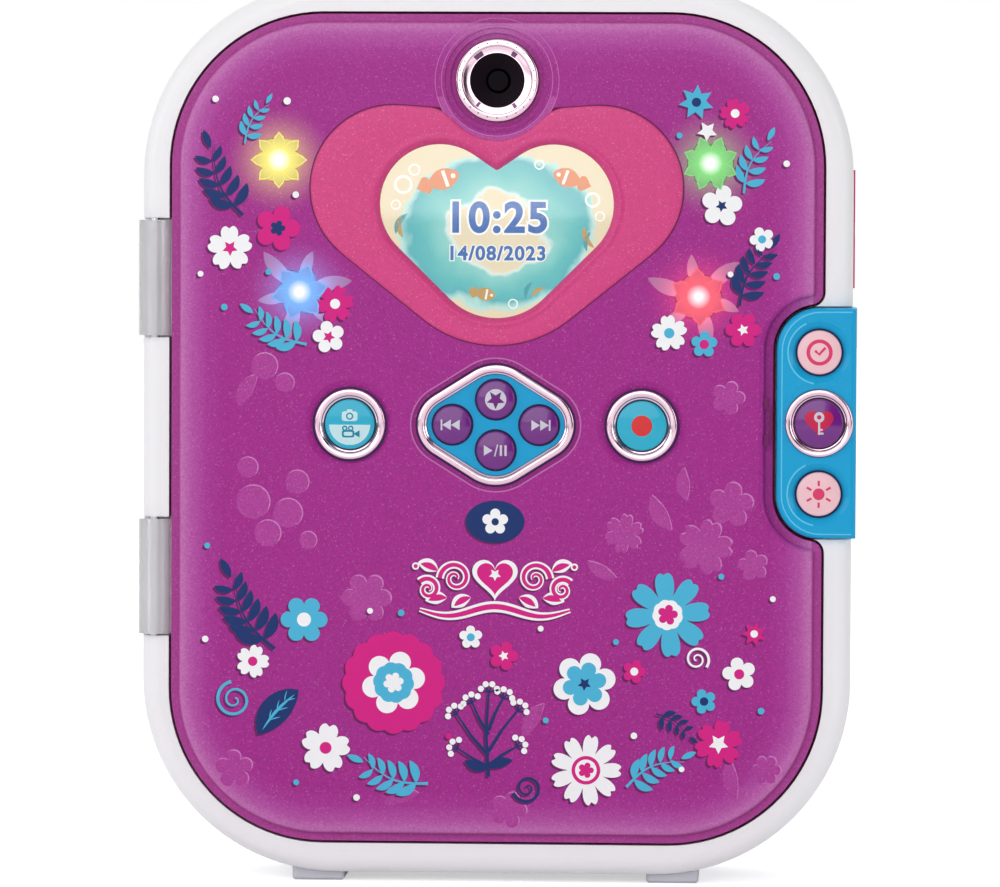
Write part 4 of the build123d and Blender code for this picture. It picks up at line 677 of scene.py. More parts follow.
def rounded_profile(points, radius, steps=5):
    """Softens the inner corners of a profile with quadratic curves that start a radius away."""
    points = np.array(points, dtype=float)
    out = [points[0][None]]
    t = np.linspace(0, 1, steps)[:, None]
    for before, corner, after in zip(points[:-2], points[1:-1], points[2:]):
        start = corner + (before - corner) * min(0.5, radius / np.linalg.norm(before - corner))
        end = corner + (after - corner) * min(0.5, radius / np.linalg.norm(after - corner))
        out.append((1 - t) ** 2 * start + 2 * t * (1 - t) * corner + t ** 2 * end)
    return np.concatenate(out + [points[-1][None]])


print("mesh helpers ready")

# %% [markdown]
# ## Outlines round a middle
# The heart and the rhombus are unions of tapers. A taper is all the discs whose middle and radius run
# evenly from one end to the other, so a point lies in it where the largest radius minus distance is
# positive. Along each ray from the middle the outline is found by halving an interval.

# %% Outline by rays
RAYS = 360


def depth_in_tapers(x, z, tapers, grow):
    """Largest of radius + grow - distance over the discs of all tapers."""
    t = np.linspace(0, 1, 41).reshape(-1, 1)
    best = np.full(x.shape, -1e9)
    for (ax, az, ar), (bx, bz, br) in tapers:
        cx, cz, r = ax + (bx - ax) * t, az + (bz - az) * t, ar + (br - ar) * t
        best = np.maximum(best, (r + grow - np.hypot(x - cx, z - cz)).max(axis=0))
    return best


def outline(tapers, middle, grow=0.0, bite=None, soften=0):
    """Radius of the outline for each of RAYS directions; bite is a disc (x, z, r) taken away."""
    angle = np.linspace(0, 2 * math.pi, RAYS, endpoint=False)
    near, far = np.zeros(RAYS), np.full(RAYS, 90.0)
    for _ in range(30):
        mid = (near + far) / 2
        x, z = middle[0] + mid * np.cos(angle), middle[1] + mid * np.sin(angle)
        depth = depth_in_tapers(x, z, tapers, grow)
        if bite:
            depth = np.minimum(depth, np.hypot(x - bite[0], z - bite[1]) - bite[2] + grow)
        near, far = np.where(depth > 0, mid, near), np.where(depth > 0, far, mid)
    for _ in range(soften):
        near = (np.roll(near, 1) + 2 * near + np.roll(near, -1)) / 4
    return near


def ring_surface(radii, heights, middle, close=True):
    """Rows of outline radii at given y: X = mx + r cos t, Z = mz + r sin t; closed round the section too."""
    angle = np.linspace(0, 2 * math.pi, RAYS, endpoint=False)
    radii = np.array(radii)
    x = middle[0] + radii * np.cos(angle)
    z = middle[1] + radii * np.sin(angle)
    y = np.broadcast_to(np.array(heights, dtype=float)[:, None], x.shape)
    return np.stack([x, y, z], axis=-1).reshape(-1, 3), grid_faces(len(radii), RAYS, close, True)


def mirrored(tapers):
    """The tapers and their mirror images in the plane X = 0."""
    return tapers + [tuple((-x, z, r) for x, z, r in taper) for taper in tapers]


HEART_MIDDLE = (0.0, 176.0)
HEART = mirrored([((28.1, 189.5, 22.5), (0, 178.5, 31.5)), ((13.0, 199.5, 9.6), (28.1, 189.5, 22.5))])
HEART_BITE = (0.0, 218.8, 16.3)
WINDOW = mirrored([((15.5, 185.2, 16.2), (0, 172.4, 18.0))])
NAV_MIDDLE = (0.0, 125.3)
NAV = [((-12.05, 125.3, 9.35), (0, 129.95, 11.8)), ((12.05, 125.3, 9.35), (0, 129.95, 11.8)),
       ((-12.05, 125.3, 9.35), (0, 120.65, 11.8)), ((12.05, 125.3, 9.35), (0, 120.65, 11.8)),
       ((0, 129.95, 11.8), (0, 120.65, 11.8)), ((-12.05, 125.3, 9.35), (12.05, 125.3, 9.35))]
print("window is", round(2 * outline(WINDOW, HEART_MIDDLE).max(), 1), "mm at most across its middle")

# %% [markdown]
# ## The heart frame
# The pink frame is one band between two heart outlines. Its section goes up the outer wall, over a
# slightly crowned face, up a fine ridge and down a slope to the window, then back underneath.

# %% Heart frame


def make_heart_frame():
    """Band between the outer heart and the window, with fifteen rows across it."""
    window = {g: outline(WINDOW, HEART_MIDDLE, g, soften=3) for g in (0.05, 0.5, 1.1, 1.5, 1.9, 2.3, 2.7,
                                                                      3.4)}
    outer = {g: outline(HEART, HEART_MIDDLE, g, HEART_BITE, soften=10) for g in (0.0, -0.1, -0.3, -0.7)}

    def between(share):
        return outer[-0.7] * (1 - share) + window[3.4] * share

    rows = [(outer[0.0], BEZEL_Y + 1.7), (outer[0.0], BEZEL_Y + 0.45), (outer[-0.1], BEZEL_Y + 0.2),
            (outer[-0.3], BEZEL_Y + 0.06), (outer[-0.7], BEZEL_Y),
            (between(0.3), BEZEL_Y - 0.06), (between(0.65), BEZEL_Y - 0.08), (window[3.4], BEZEL_Y - 0.04),
            (window[2.7], BEZEL_Y - 0.02), (window[2.3], BEZEL_Y - 0.22), (window[1.9], BEZEL_Y - 0.3),
            (window[1.5], BEZEL_Y - 0.18), (window[1.1], BEZEL_Y + 0.1), (window[0.5], BEZEL_Y + 0.95),
            (window[0.05], BEZEL_Y + 1.7)]
    patch = ring_surface([r for r, _ in rows], [y for _, y in rows], HEART_MIDDLE)
    piece = add_piece("heart_frame", patch, "lid", finishes["heart_pink"], angle=50)
    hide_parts("heart_bezel")
    return piece


print("heart frame faces", len(make_heart_frame().data.polygons))

# %% [markdown]
# ## Bright rings
# The plated rings are turned profiles with a broad convex face and a fine inner step that catches a
# dark line. The rhombus uses the same kind of section along its own outline.

# %% Plated rings


def plated_ring(name, node, x, z, outer, inner, front, back, body):
    """Turned ring: rounded outer wall, broad face, fine step and a slope to the cap."""
    width = outer - inner
    section = [(outer, back), (outer, front + 0.45), (outer - 0.12 * width, front + 0.06),
               (outer - 0.3 * width, front), (outer - 0.55 * width, front + 0.06),
               (outer - 0.72 * width, front + 0.35),
               (outer - 0.76 * width, front + 0.62), (outer - 0.95 * width, front + 0.75),
               (inner, front + 1.0),
               (inner, back), (outer, back)]
    piece = add_piece(name, turned(rounded_profile(section, 0.16), x, z, 128), body, finishes["chrome"])
    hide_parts(node)
    return piece


PLATED = [("photo_ring_turned", "photo_ring", "lid"), ("record_ring_turned", "record_ring", "lid"),
          ("key_ring_turned", "key_ring", "case")]
for name, node, body in PLATED:
    low, high, middle = box_and_middle(node)
    outer = (high[0] - low[0]) / 2
    plated_ring(name, node, middle[0], middle[2], outer, 7.0 if outer > 9.5 else 6.85, low[1], high[1], body)


def make_rhombus():
    """Plated section swept along the rhombus outline, by how far each row is inset."""
    low, high = box_mm("nav_bezel")
    section = rounded_profile([(0, high[1]), (0, low[1] + 0.5), (0.3, low[1] + 0.1), (0.8, low[1]),
                               (1.5, low[1] + 0.02),
                               (1.95, low[1] + 0.25), (2.1, low[1] + 0.6), (2.55, low[1] + 0.8),
                               (2.75, high[1])], 0.15)
    radii = [outline(NAV, NAV_MIDDLE, -inset) for inset in section[:, 0]]
    piece = add_piece("rhombus_frame", ring_surface(radii, section[:, 1], NAV_MIDDLE), "lid",
                      finishes["chrome"])
    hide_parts("nav_bezel")
    return piece


print("rhombus faces", len(make_rhombus().data.polygons))

# %% [markdown]
# ## The camera
# Round the lens sit a plated ring with a ring of tiny pits, an inner band with four dark marks, and a
# black well whose ribs stop stray light. The ribs are steps that shrink towards the lens.

# %% Camera ring and well
CAMERA_X, CAMERA_Z = 0.0, 218.8


def make_camera():
    """Plated ring and the black well with its steps; returns the ring's front."""
    low, high = box_mm("camera_ring")
    front, back = low[1], high[1]
    section = [(11.3, back), (11.3, front + 0.4), (11.1, front + 0.08), (10.7, front - 0.06),
               (9.7, front - 0.1),
               (9.35, front), (9.25, front + 0.25), (9.1, front + 0.28), (8.3, front + 0.42),
               (7.55, front + 0.5),
               (7.4, front + 0.48), (7.95, front + 0.49), (7.95, back), (11.3, back)]
    ring = add_piece("camera_ring_turned", turned(rounded_profile(section, 0.1), CAMERA_X, CAMERA_Z, 160),
                     "lid",
                     finishes["chrome"])
    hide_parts("camera_ring")
    low, high = box_mm("camera_barrel")
    steps = 9
    share = np.repeat(np.arange(steps + 1) / steps, 2)
    radius = np.roll(7.3 + (3.4 - 7.3) * share, 1)
    depth = low[1] + 6.5 * share
    radius[0] = 7.9
    inside = np.stack([radius[1:], depth[1:]], axis=-1)
    section = [(7.9, high[1]), (7.9, low[1]), (7.3, low[1])] + inside[1:].tolist() + [(3.4, high[1]),
                                                                                      (7.9, high[1])]
    well = add_piece("camera_well", turned(rounded_profile(section, 0.08, 3), CAMERA_X, CAMERA_Z, 128), "lid",
                     finishes["black_plastic"])
    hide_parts("camera_barrel")
    return front


CAMERA_FRONT = make_camera()


def disc_patch(x, z, radius, y, lift, steps=14):
    """Low dome: height lift (1 - s^2) over s from 0 to 1, its rim at y."""
    s = np.array([0.0, 0.55, 0.85, 1.0])[:, None]
    t = np.linspace(0, 2 * math.pi, steps, endpoint=False)[None, :]
    points = np.stack([x + radius * s * np.cos(t), y - lift * (1 - s ** 2) + 0 * t,
                       z + radius * s * np.sin(t)],
                      axis=-1)
    return points.reshape(-1, 3), grid_faces(4, steps, close_columns=True)


def arc_patch(x, z, inner, outer, start, end, y_inner, y_outer, steps=12):
    """Flat band of a ring between two angles, in degrees."""
    t = np.radians(np.linspace(start, end, steps))[None, :]
    r = np.array([inner, outer])[:, None]
    y = np.array([y_inner, y_outer])[:, None] + 0 * t
    points = np.stack([x + r * np.cos(t), y, z + r * np.sin(t)], axis=-1)
    return points.reshape(-1, 3), grid_faces(2, steps)


# painted shade: the tiny pits are dark discs on the ring
finishes["pit"] = moulded("pit_shade", paint("3A2438"), 0.5)
finishes["mark"] = metal("ring_mark", paint("5B3F58"), 0.25)
pits = [disc_patch(CAMERA_X + 10.25 * math.cos(a), CAMERA_Z + 10.25 * math.sin(a), 0.2, CAMERA_FRONT - 0.1,
                   0.03, 8)
        for a in np.radians(np.arange(0, 360, 15))]
add_piece("camera_pits", gather(pits), "lid", finishes["pit"], closed=False)
marks = [arc_patch(CAMERA_X, CAMERA_Z, 7.6, 9.0, start, end, CAMERA_FRONT + 0.46, CAMERA_FRONT + 0.25)
         for start, end in ((52, 62), (118, 136), (229, 235), (301, 308))]
add_piece("camera_marks", gather(marks), "lid", finishes["mark"], closed=False)
print("camera pits", len(pits))

# %% [markdown]
# ## Button caps
# A cap is a turned profile: a crowned top, a rounded edge, a straight side, the collar behind the panel
# and the stem. The crown's height over the edge is known, so that icons can follow it.

# %% Caps
CAPS = {}


def crowned_cap(node, radius, crown, slot, material=None):
    """Top y = front + crown s^2 with s = r / radius, so the middle is at the solid's own front."""
    low, high, middle = box_and_middle(node)
    front, end = low[1], high[1]
    edge = 0.55
    s = np.linspace(0, 1, 12)
    top = np.stack([s * (radius - edge), front + crown * s ** 2], axis=-1)
    turn = np.radians(np.linspace(0, 90, 6))
    rim = np.stack([radius - edge + edge * np.sin(turn), front + crown + edge * (1 - np.cos(turn))], axis=-1)
    collar = (high[0] - low[0]) / 2
    rest = np.array([(radius, end - 1.0), (collar, end - 1.0), (collar, end - 0.2), (1.6, end - 0.2),
                     (1.6, end),
                     (0, end)])
    cap = add_piece(node + "_cap", turned(np.concatenate([top, rim[1:], rest]), middle[0], middle[2], 72),
                    node,
                    material or finishes[slot])
    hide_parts(node)
    CAPS[node] = (middle[0], middle[2], radius - edge, front, crown)
    return cap


for node in ("star_button", "previous_button", "next_button", "play_button"):
    crowned_cap(node, 5.2, 0.45, "button_purple")
crowned_cap("key_button", 6.6, 0.6, "button_purple")
for node in ("photo_button", "record_button"):
    crowned_cap(node, 6.75, 0.3, "button_cyan")
for node in ("clock_button", "light_button"):
    crowned_cap(node, 5.95, 0.25, "button_pink")
print("caps", len(CAPS))

# %% [markdown]
# ## Flat shapes
# Prints and icons are thin shapes on a surface. Each is drawn in its own plane with the outline given by
# a formula: a radius for each direction for flowers, stars and hearts, or a width along a line for
# leaves, stems and bars. A print has a slightly raised, rounded top of a few hundredths of a millimetre.

# %% Shape formulas
RINGS = np.array([0.0, 0.5, 0.8, 0.94, 1.0])
RING_HEIGHT = np.array([1.0, 1.0, 1.0, 0.9, 0.0])


def polar_shape(radius_of, steps):
    """Patch (a, b, height) filled from the middle to r(t)."""
    t = np.linspace(0, 2 * math.pi, steps, endpoint=False)[None, :]
    s = RINGS[:, None]
    r = radius_of(t) * s
    height = np.broadcast_to(RING_HEIGHT[:, None], r.shape)
    return np.stack([r * np.cos(t), r * np.sin(t), height], axis=-1).reshape(-1, 3), \
        grid_faces(len(RINGS), steps, close_columns=True)


def blossom(petals, reach=0.62, lobe=0.38):
    """Union of discs of radius lobe at distance reach: r = d cos f + sqrt(l^2 - d^2 sin^2 f) in each petal."""
    def radius_of(t):
        f = (t + math.pi / petals) % (2 * math.pi / petals) - math.pi / petals
        return reach * np.cos(f) + np.sqrt(np.maximum(lobe ** 2 - (reach * np.sin(f)) ** 2, 0.0004))
    return polar_shape(radius_of, petals * 16)


def notched(petals, waist=0.45, notch=0.16):
    """Petals r = 1 - waist |f|^3 with a small notch at each tip, f running from -1 to 1 across a petal."""
    def radius_of(t):
        f = ((t + math.pi / petals) % (2 * math.pi / petals)) / (math.pi / petals) - 1
        return 1 - waist * np.abs(f) ** 3 - notch * np.exp(-(f / 0.16) ** 2)
    return polar_shape(radius_of, petals * 18)


def scalloped(waves, depth=0.07):
    """Round flower whose edge has shallow arcs: r = 1 - depth + depth |sin(n t / 2)|."""
    return polar_shape(lambda t: 1 - depth + depth * np.abs(np.sin(waves * t / 2)), waves * 12)


def star(points, inner=0.45):
    """Straight-sided star between radius 1 and inner."""
    def radius_of(t):
        f = np.abs(((t + math.pi / points) % (2 * math.pi / points)) - math.pi / points)
        half = math.pi / points
        return math.sin(half) * inner / (np.sin(half - f) + inner * np.sin(f) + 1e-9)
    return polar_shape(radius_of, points * 12)


def round_shape():
    """Disc of radius 1."""
    return polar_shape(lambda t: np.ones_like(t), 28)


def heart_shape():
    """Heart a = 16 sin^3 t, b = 13 cos t - 5 cos 2t - 2 cos 3t - cos 4t, over 16, shrunk to its middle."""
    steps = 64
    t = np.linspace(0, 2 * math.pi, steps, endpoint=False)[None, :]
    s = RINGS[:, None]
    a = np.sin(t) ** 3
    b = (13 * np.cos(t) - 5 * np.cos(2 * t) - 2 * np.cos(3 * t) - np.cos(4 * t)) / 16
    height = np.broadcast_to(RING_HEIGHT[:, None], (len(RINGS), steps))
    return np.stack([s * a, s * b, height], axis=-1).reshape(-1, 3), \
        grid_faces(len(RINGS), steps, close_columns=True)


print("filled shapes ready")

# %% [markdown]
# ### Bands
# Leaves, stems, coils and bars are bands along a line. Their width follows its own formula, which gives
# pointed or blunt ends without drawing an outline.

# %% Band formulas


def strip(path, widths, rows=5):
    """Band along a path (a, b) with half widths; height 1 - v^4 across it."""
    path, widths = np.array(path, dtype=float), np.array(widths, dtype=float)
    along = np.gradient(path, axis=0)
    along /= np.linalg.norm(along, axis=1, keepdims=True) + 1e-9
    side = np.stack([-along[:, 1], along[:, 0]], axis=-1)
    v = np.array([-1.0, -0.8, 0.0, 0.8, 1.0])[:rows, None, None]
    flat = path[None] + side[None] * widths[None, :, None] * v
    height = np.broadcast_to(1 - v[..., 0] ** 4, flat.shape[:2])
    return np.concatenate([flat, height[..., None]], axis=-1).reshape(-1, 3), grid_faces(rows, len(path))


def leaf(length=1.0, width=0.22, bend=0.08, blunt=0.8):
    """Leaf along its first axis: half width w sin(pi u)^blunt, middle line bend sin(pi u)."""
    u = np.linspace(0, 1, 13)
    swell = np.sin(math.pi * np.clip(u, 0.001, 0.999))
    return strip(np.stack([u * length, bend * swell * length], axis=-1), width * length * swell ** blunt)


def line(points, width):
    """Polyline band of even width with round ends left square."""
    return strip(points, np.full(len(points), width / 2))


def spiral(turns, radius, width):
    """Coil r = radius (1 - 0.93 u)^0.9 that runs inwards over u, thinner to its end."""
    u = np.linspace(0, 1, 60)
    r = radius * (1 - 0.93 * u) ** 0.9
    t = 2 * math.pi * turns * u
    return strip(np.stack([r * np.cos(t), r * np.sin(t)], axis=-1), width / 2 * (1 - 0.55 * u))


def bar(width, height):
    """Upright rectangle as a band."""
    return strip([(0, -height / 2), (0, 0), (0, height / 2)], [width / 2] * 3)


def placed(shape, x, z, size=1.0, turn=0.0):
    """Shape scaled and turned by degrees to a place in the X-Z plane; heights stay."""
    points, faces = shape
    c, s = math.cos(math.radians(turn)), math.sin(math.radians(turn))
    a, b = points[:, 0] * size, points[:, 1] * size
    return np.stack([x + a * c - b * s, z + a * s + b * c, points[:, 2]], axis=-1), faces


def laid(shape, y_of, lift, thick):
    """Puts a placed shape on the surface y(x, z): y - lift - thick * height."""
    points, faces = shape
    x, z, h = points[:, 0], points[:, 1], points[:, 2]
    return np.stack([x, y_of(x, z) - lift - thick * h, z], axis=-1), faces


def plane_at(y):
    """Level surface for laid shapes."""
    return lambda x, z: np.full(x.shape, y)


print("shape formulas ready")

# %% [markdown]
# ## Icons on the caps
# Each icon rides on its own button and follows the crown of the cap.

# %% Icons
ICON_LIFT, ICON_THICK = 0.012, 0.04
finishes["icon_grey"] = moulded("icon_grey", ICON_GREY, 0.4)
finishes["icon_rose"] = moulded("icon_rose", ICON_ROSE, 0.4)
finishes["icon_teal"] = moulded("icon_teal", paint("1B87A6"), 0.4)
finishes["icon_violet"] = moulded("icon_violet", paint("6C2478"), 0.35)
finishes["icon_red"] = moulded("icon_red", paint("DB3A3C"), 0.35)
finishes["icon_heart"] = moulded("icon_heart", paint("C9244F"), 0.35)
finishes["icon_pale"] = moulded("icon_pale", paint("C8E9EE"), 0.35)


def icon(name, node, shapes, finish, level=0):
    """Shapes are placed about the cap's middle; level stacks one over another."""
    x, z, radius, front, crown = CAPS[node]

    def top(px, pz):
        return front + crown * ((px - x) ** 2 + (pz - z) ** 2) / radius ** 2

    patches = [laid((points + np.array([x, z, 0]), faces), top, ICON_LIFT + level * 0.03, ICON_THICK)
               for points, faces in shapes]
    return add_piece(name, gather(patches), node, finishes[finish], closed=False)


def triangle(way):
    """Band whose half width falls evenly from one end to the other."""
    return strip([(-0.5 * way, 0), (0, 0), (0.5 * way, 0)], [0.62, 0.31, 0.02])


def circle_band(radius, band, start=0.0, end=360.0):
    """Even band along a circle between two angles, in degrees."""
    t = np.radians(np.linspace(start, end, 49))
    return strip(np.stack([radius * np.cos(t), radius * np.sin(t)], axis=-1), np.full(49, band / 2))


def superellipse(width, height, power=5.0):
    """Filled rounded rectangle: r = ((|cos|/w)^p + (|sin|/h)^p)^(-1/p)."""
    def radius_of(t):
        return ((np.abs(np.cos(t)) / (width / 2)) ** power
                + (np.abs(np.sin(t)) / (height / 2)) ** power) ** (-1 / power)
    return polar_shape(radius_of, 64)


print("icon finishes ready")

# %% [markdown]
# ### Nine small signs
# The signs are built from discs, bars, triangles and circles in a few strokes each, as moulded or printed
# caps have them. Parts that lie over others are one level up.

# %% Signs on the caps
icon("star_disc", "star_button", [placed(round_shape(), 0, 0, 2.9)], "icon_grey")
icon("star_mark", "star_button", [placed(star(5), 0, 0, 2.65, 90)], "icon_violet", 1)
icon("previous_mark", "previous_button",
     [placed(bar(0.45, 2.9), -2.9, 0), placed(triangle(-1), -1.5, 0, 2.3), placed(triangle(-1), 0.9, 0, 2.3)],
     "icon_grey")
icon("next_mark", "next_button",
     [placed(bar(0.45, 2.9), 2.9, 0), placed(triangle(1), 1.5, 0, 2.3), placed(triangle(1), -0.9, 0, 2.3)],
     "icon_grey")
icon("play_mark", "play_button",
     [placed(triangle(1), -2.0, 0, 2.3), placed(bar(0.34, 3.3), 0.2, 0, 1, -14),
      placed(bar(0.6, 2.9), 1.5, 0),
      placed(bar(0.6, 2.9), 2.75, 0)], "icon_grey")
icon("record_dot", "record_button", [placed(round_shape(), 0, 0, 2.85)], "icon_red")
icon("clock_mark", "clock_button",
     [circle_band(3.05, 1.0), placed(line([(-1.2, 0.5), (-0.1, -0.55), (1.6, 1.3)], 0.75), 0, 0)],
     "icon_rose")
icon("light_mark", "light_button",
     [placed(round_shape(), 0, 0, 1.6)]
     + [placed(bar(0.62, 1.45), 3.0 * math.cos(a), 2.95 * math.sin(a), 1, math.degrees(a) - 90)
        for a in np.radians(np.arange(30, 390, 60))], "icon_rose")
icon("key_heart", "key_button", [placed(heart_shape(), 0, 0.5, 3.9)], "icon_heart")
icon("key_mark", "key_button",
     [placed(circle_band(1.0, 0.8), 0, 1.7), placed(bar(0.65, 4.0), 0, -1.0),
      placed(bar(1.2, 0.55), 0.6, -2.7),
      placed(bar(1.0, 0.5), 0.5, -1.7)], "icon_grey", 1)
print("signs on", len(CAPS) - 1, "caps")

# %% [markdown]
# ### The two-part button
# The left button is split: a camera for pictures above, a film camera below on a paler half. The half
# is a band whose width follows the circle's chord.

# %% Photo button
HALF_DISC = 5.6


def half_disc(radius):
    """Lower half of a disc: rows b from 0 to -r, each as wide as the chord."""
    b = np.linspace(0, -radius * 0.985, 14)
    return strip(np.stack([np.zeros(14), b], axis=-1), np.sqrt(np.maximum(radius ** 2 - b ** 2, 0.01)))


icon("photo_half", "photo_button", [placed(half_disc(HALF_DISC), 0, -0.1)], "icon_pale")
icon("photo_mark", "photo_button",
     [placed(superellipse(4.3, 2.7), 0, 2.2), placed(superellipse(1.5, 0.8), 0, 3.7)], "icon_pale", 1)
icon("photo_lens", "photo_button", [placed(circle_band(0.8, 0.4), 0, 2.2)], "icon_teal", 2)
icon("film_mark", "photo_button",
     [placed(superellipse(3.4, 2.0), -0.4, -2.6), placed(circle_band(0.55, 0.4), -1.3, -1.1),
      placed(circle_band(0.55, 0.4), 0.3, -1.1), placed(triangle(-1), 1.9, -2.6, 1.6)], "icon_teal", 1)
icon("film_light", "photo_button", [placed(superellipse(2.4, 1.1), -0.4, -2.6)], "icon_pale", 2)
print("icons on", len(CAPS), "caps")

# %% [markdown]
# ## Prints on the lid
# Flowers, sprigs and coils are pad printed in four inks, each layer a few hundredths of a millimetre
# over the one below. Under every motif lies a painted shadow: a darker shape, moved down and left.
# All shapes of one ink and layer are one mesh.

# %% Print inks
# the shade ink paints the shadow under every motif
INK = {"white": PRINT_WHITE, "magenta": PRINT_MAGENTA, "cyan": PRINT_CYAN, "navy": PRINT_NAVY,
       "red": PRINT_RED,
       "shade": PAINTED_SHADOW_PURPLE}
for name, colour in INK.items():
    finishes["ink_" + name] = moulded("ink_" + name, colour, 0.4, 0.03, 0.1, 3000.0, 0.000006)
LAYER = 0.03
printed = {}


def stamp(ink, layer, shape, x, z, size=1.0, turn=0.0):
    """Adds a shape to the list of its ink and layer."""
    printed.setdefault((ink, layer), []).append(placed(shape, x, z, size, turn))


def motif(ink, shape, x, z, size=1.0, turn=0.0, shadow_drop=0.55):
    """A shape with its painted shadow, a darker copy moved down and left."""
    stamp("shade", 0, shape, x - shadow_drop, z - shadow_drop, size, turn)
    stamp(ink, 1, shape, x, z, size, turn)


def sprig(ink, x, z, length, turn, pairs=5, spread=52.0, curl=0.12):
    """Stem a = u, b = curl sin(pi u), with pairs of leaves that shrink towards the tip and one at the tip."""
    u = np.linspace(0, 1, 16)
    stem = strip(np.stack([u * 0.86, curl * np.sin(math.pi * u)], axis=-1), 0.016 * (1.15 - u))
    motif(ink, stem, x, z, length, turn)
    c, s = math.cos(math.radians(turn)), math.sin(math.radians(turn))
    spots = [(0.14 + 0.7 * k / pairs, side, 0.29 - 0.11 * k / pairs) for k in range(pairs) for side in (-1,
                                                                                                        1)]
    for at, side, size in spots + [(0.84, 0, 0.22)]:
        a, b = at, curl * math.sin(math.pi * at)
        motif(ink, leaf(1.0, 0.19, 0.1 * side), x + length * (a * c - b * s), z + length * (a * s + b * c),
              size * length, turn + side * spread)


def bloom(x, z, size, layers, turn=0.0):
    """Layered flower: (ink, shape, share of the size) from the outside in."""
    ink, shape, share = layers[0]
    motif(ink, shape, x, z, size * share, turn)
    for level, (ink, shape, share) in enumerate(layers[1:], 2):
        stamp(ink, level, shape, x, z, size * share, turn)


ROUND5, ROUND6, POINTED8 = blossom(5), blossom(6, 0.66, 0.34), notched(8, 0.55, 0.06)
NOTCHED5, NOTCHED6, SCALLOP = notched(5, 0.4, 0.14), notched(6, 0.42, 0.12), scalloped(16, 0.06)
DOT, STAR5, STAR7 = round_shape(), star(5, 0.5), star(7, 0.55)

# %% [markdown]
# ### Clusters at the top
# Flowers and sprigs gather round the lamps at both upper corners, small motifs outside and larger ones
# inside, so that the heart between them stays calm.

# %% Top clusters
sprig("navy", -69.0, 182.0, 24.0, 112, 5)
sprig("cyan", -68.5, 201.5, 14.5, 58, 4)
bloom(-72.5, 173.0, 6.2, [("white", NOTCHED5, 1), ("magenta", STAR5, 0.35)], 20)
bloom(-59.5, 178.5, 6.2, [("magenta", ROUND5, 1), ("navy", ROUND5, 0.34)], 0)
sprig("cyan", -51.5, 147.0, 20.0, 146, 5)
bloom(-43.8, 158.0, 5.2, [("magenta", NOTCHED6, 1), ("white", DOT, 0.26)], 10)
bloom(-45.5, 149.0, 4.4, [("white", ROUND5, 1), ("magenta", STAR5, 0.4)], 30)
for x, z, r, ink in ((-76.5, 213.5, 0.9, "white"), (-57.0, 213.0, 1.0, "white"), (-80.5, 166.0, 0.8, "white"),
                     (-54.6, 187.6, 0.9, "white"), (-62.0, 166.6, 0.8, "cyan"), (-74.0, 157.0, 0.9, "cyan")):
    motif(ink, DOT, x, z, r)
bloom(54.0, 213.0, 4.8, [("cyan", STAR7, 1), ("navy", DOT, 0.26)], 8)
bloom(64.5, 210.0, 4.2, [("magenta", NOTCHED5, 1), ("white", DOT, 0.28)], 30)
bloom(57.0, 205.2, 2.8, [("white", STAR5, 1)], 14)
sprig("cyan", 67.0, 188.5, 18.5, 62, 4)
bloom(61.0, 185.0, 5.6, [("white", ROUND5, 1), ("navy", STAR5, 0.3)], 10)
bloom(72.0, 176.0, 3.4, [("white", ROUND5, 1), ("cyan", DOT, 0.32)], 40)
sprig("navy", 66.0, 158.0, 21.0, 58, 5)
bloom(67.0, 151.5, 4.8, [("magenta", ROUND6, 1), ("white", STAR5, 0.34)], 0)
bloom(47.0, 150.5, 5.0, [("white", NOTCHED5, 1), ("cyan", DOT, 0.28)], 25)
bloom(56.5, 147.5, 3.6, [("cyan", ROUND5, 1), ("magenta", DOT, 0.36)], 15)
for x, z, r, ink in ((78.5, 196.5, 0.9, "white"), (49.5, 204.0, 0.8, "cyan"), (76.0, 166.0, 0.9, "cyan"),
                     (63.5, 166.5, 0.8, "white")):
    motif(ink, DOT, x, z, r)
print("top motifs", sum(len(v) for v in printed.values()))

# %% [markdown]
# ### Garland at the bottom
# The largest flowers follow the lower edge in a wide curve. They are layered from two to four inks, and
# sprigs and coils fill the gaps.

# %% Bottom garland
bloom(-27.5, 55.0, 14.0, [("magenta", SCALLOP, 1), ("white", ROUND6, 0.62), ("cyan", scalloped(10), 0.4),
                          ("white", ROUND6, 0.2)], 12)
bloom(47.0, 74.0, 11.6, [("cyan", POINTED8, 1), ("white", scalloped(9), 0.36), ("magenta", ROUND5, 0.24)], 6)
bloom(25.0, 31.5, 9.8, [("white", notched(9, 0.5, 0.1), 1), ("magenta", DOT, 0.4), ("white", DOT, 0.3),
                        ("magenta", ROUND5, 0.22)], 0)
bloom(24.5, 55.0, 8.6, [("white", ROUND6, 1), ("cyan", ROUND6, 0.7), ("navy", STAR5, 0.22)], 14)
bloom(-46.0, 37.0, 6.8, [("white", NOTCHED5, 1), ("magenta", DOT, 0.24)], 8)
bloom(-52.0, 72.0, 6.4, [("cyan", ROUND6, 1), ("white", DOT, 0.3)], 0)
bloom(61.0, 39.0, 6.6, [("magenta", NOTCHED6, 1), ("white", STAR5, 0.42)], 18)
bloom(66.5, 58.0, 4.6, [("white", ROUND5, 1), ("magenta", DOT, 0.3)], 30)
bloom(2.5, 62.5, 4.0, [("magenta", ROUND5, 1), ("white", STAR5, 0.36)], 0)
bloom(-6.5, 67.5, 3.2, [("white", ROUND5, 1), ("cyan", DOT, 0.34)], 20)
bloom(-66.0, 60.5, 4.6, [("white", NOTCHED5, 1), ("magenta", DOT, 0.28)], 0)
bloom(38.0, 58.5, 3.2, [("magenta", ROUND5, 1), ("white", DOT, 0.34)], 0)
bloom(57.0, 50.5, 3.4, [("cyan", ROUND5, 1), ("navy", DOT, 0.34)], 36)
bloom(70.5, 69.0, 3.4, [("magenta", STAR7, 1), ("white", DOT, 0.3)], 0)
sprig("navy", -60.0, 64.0, 27.0, 118, 6)
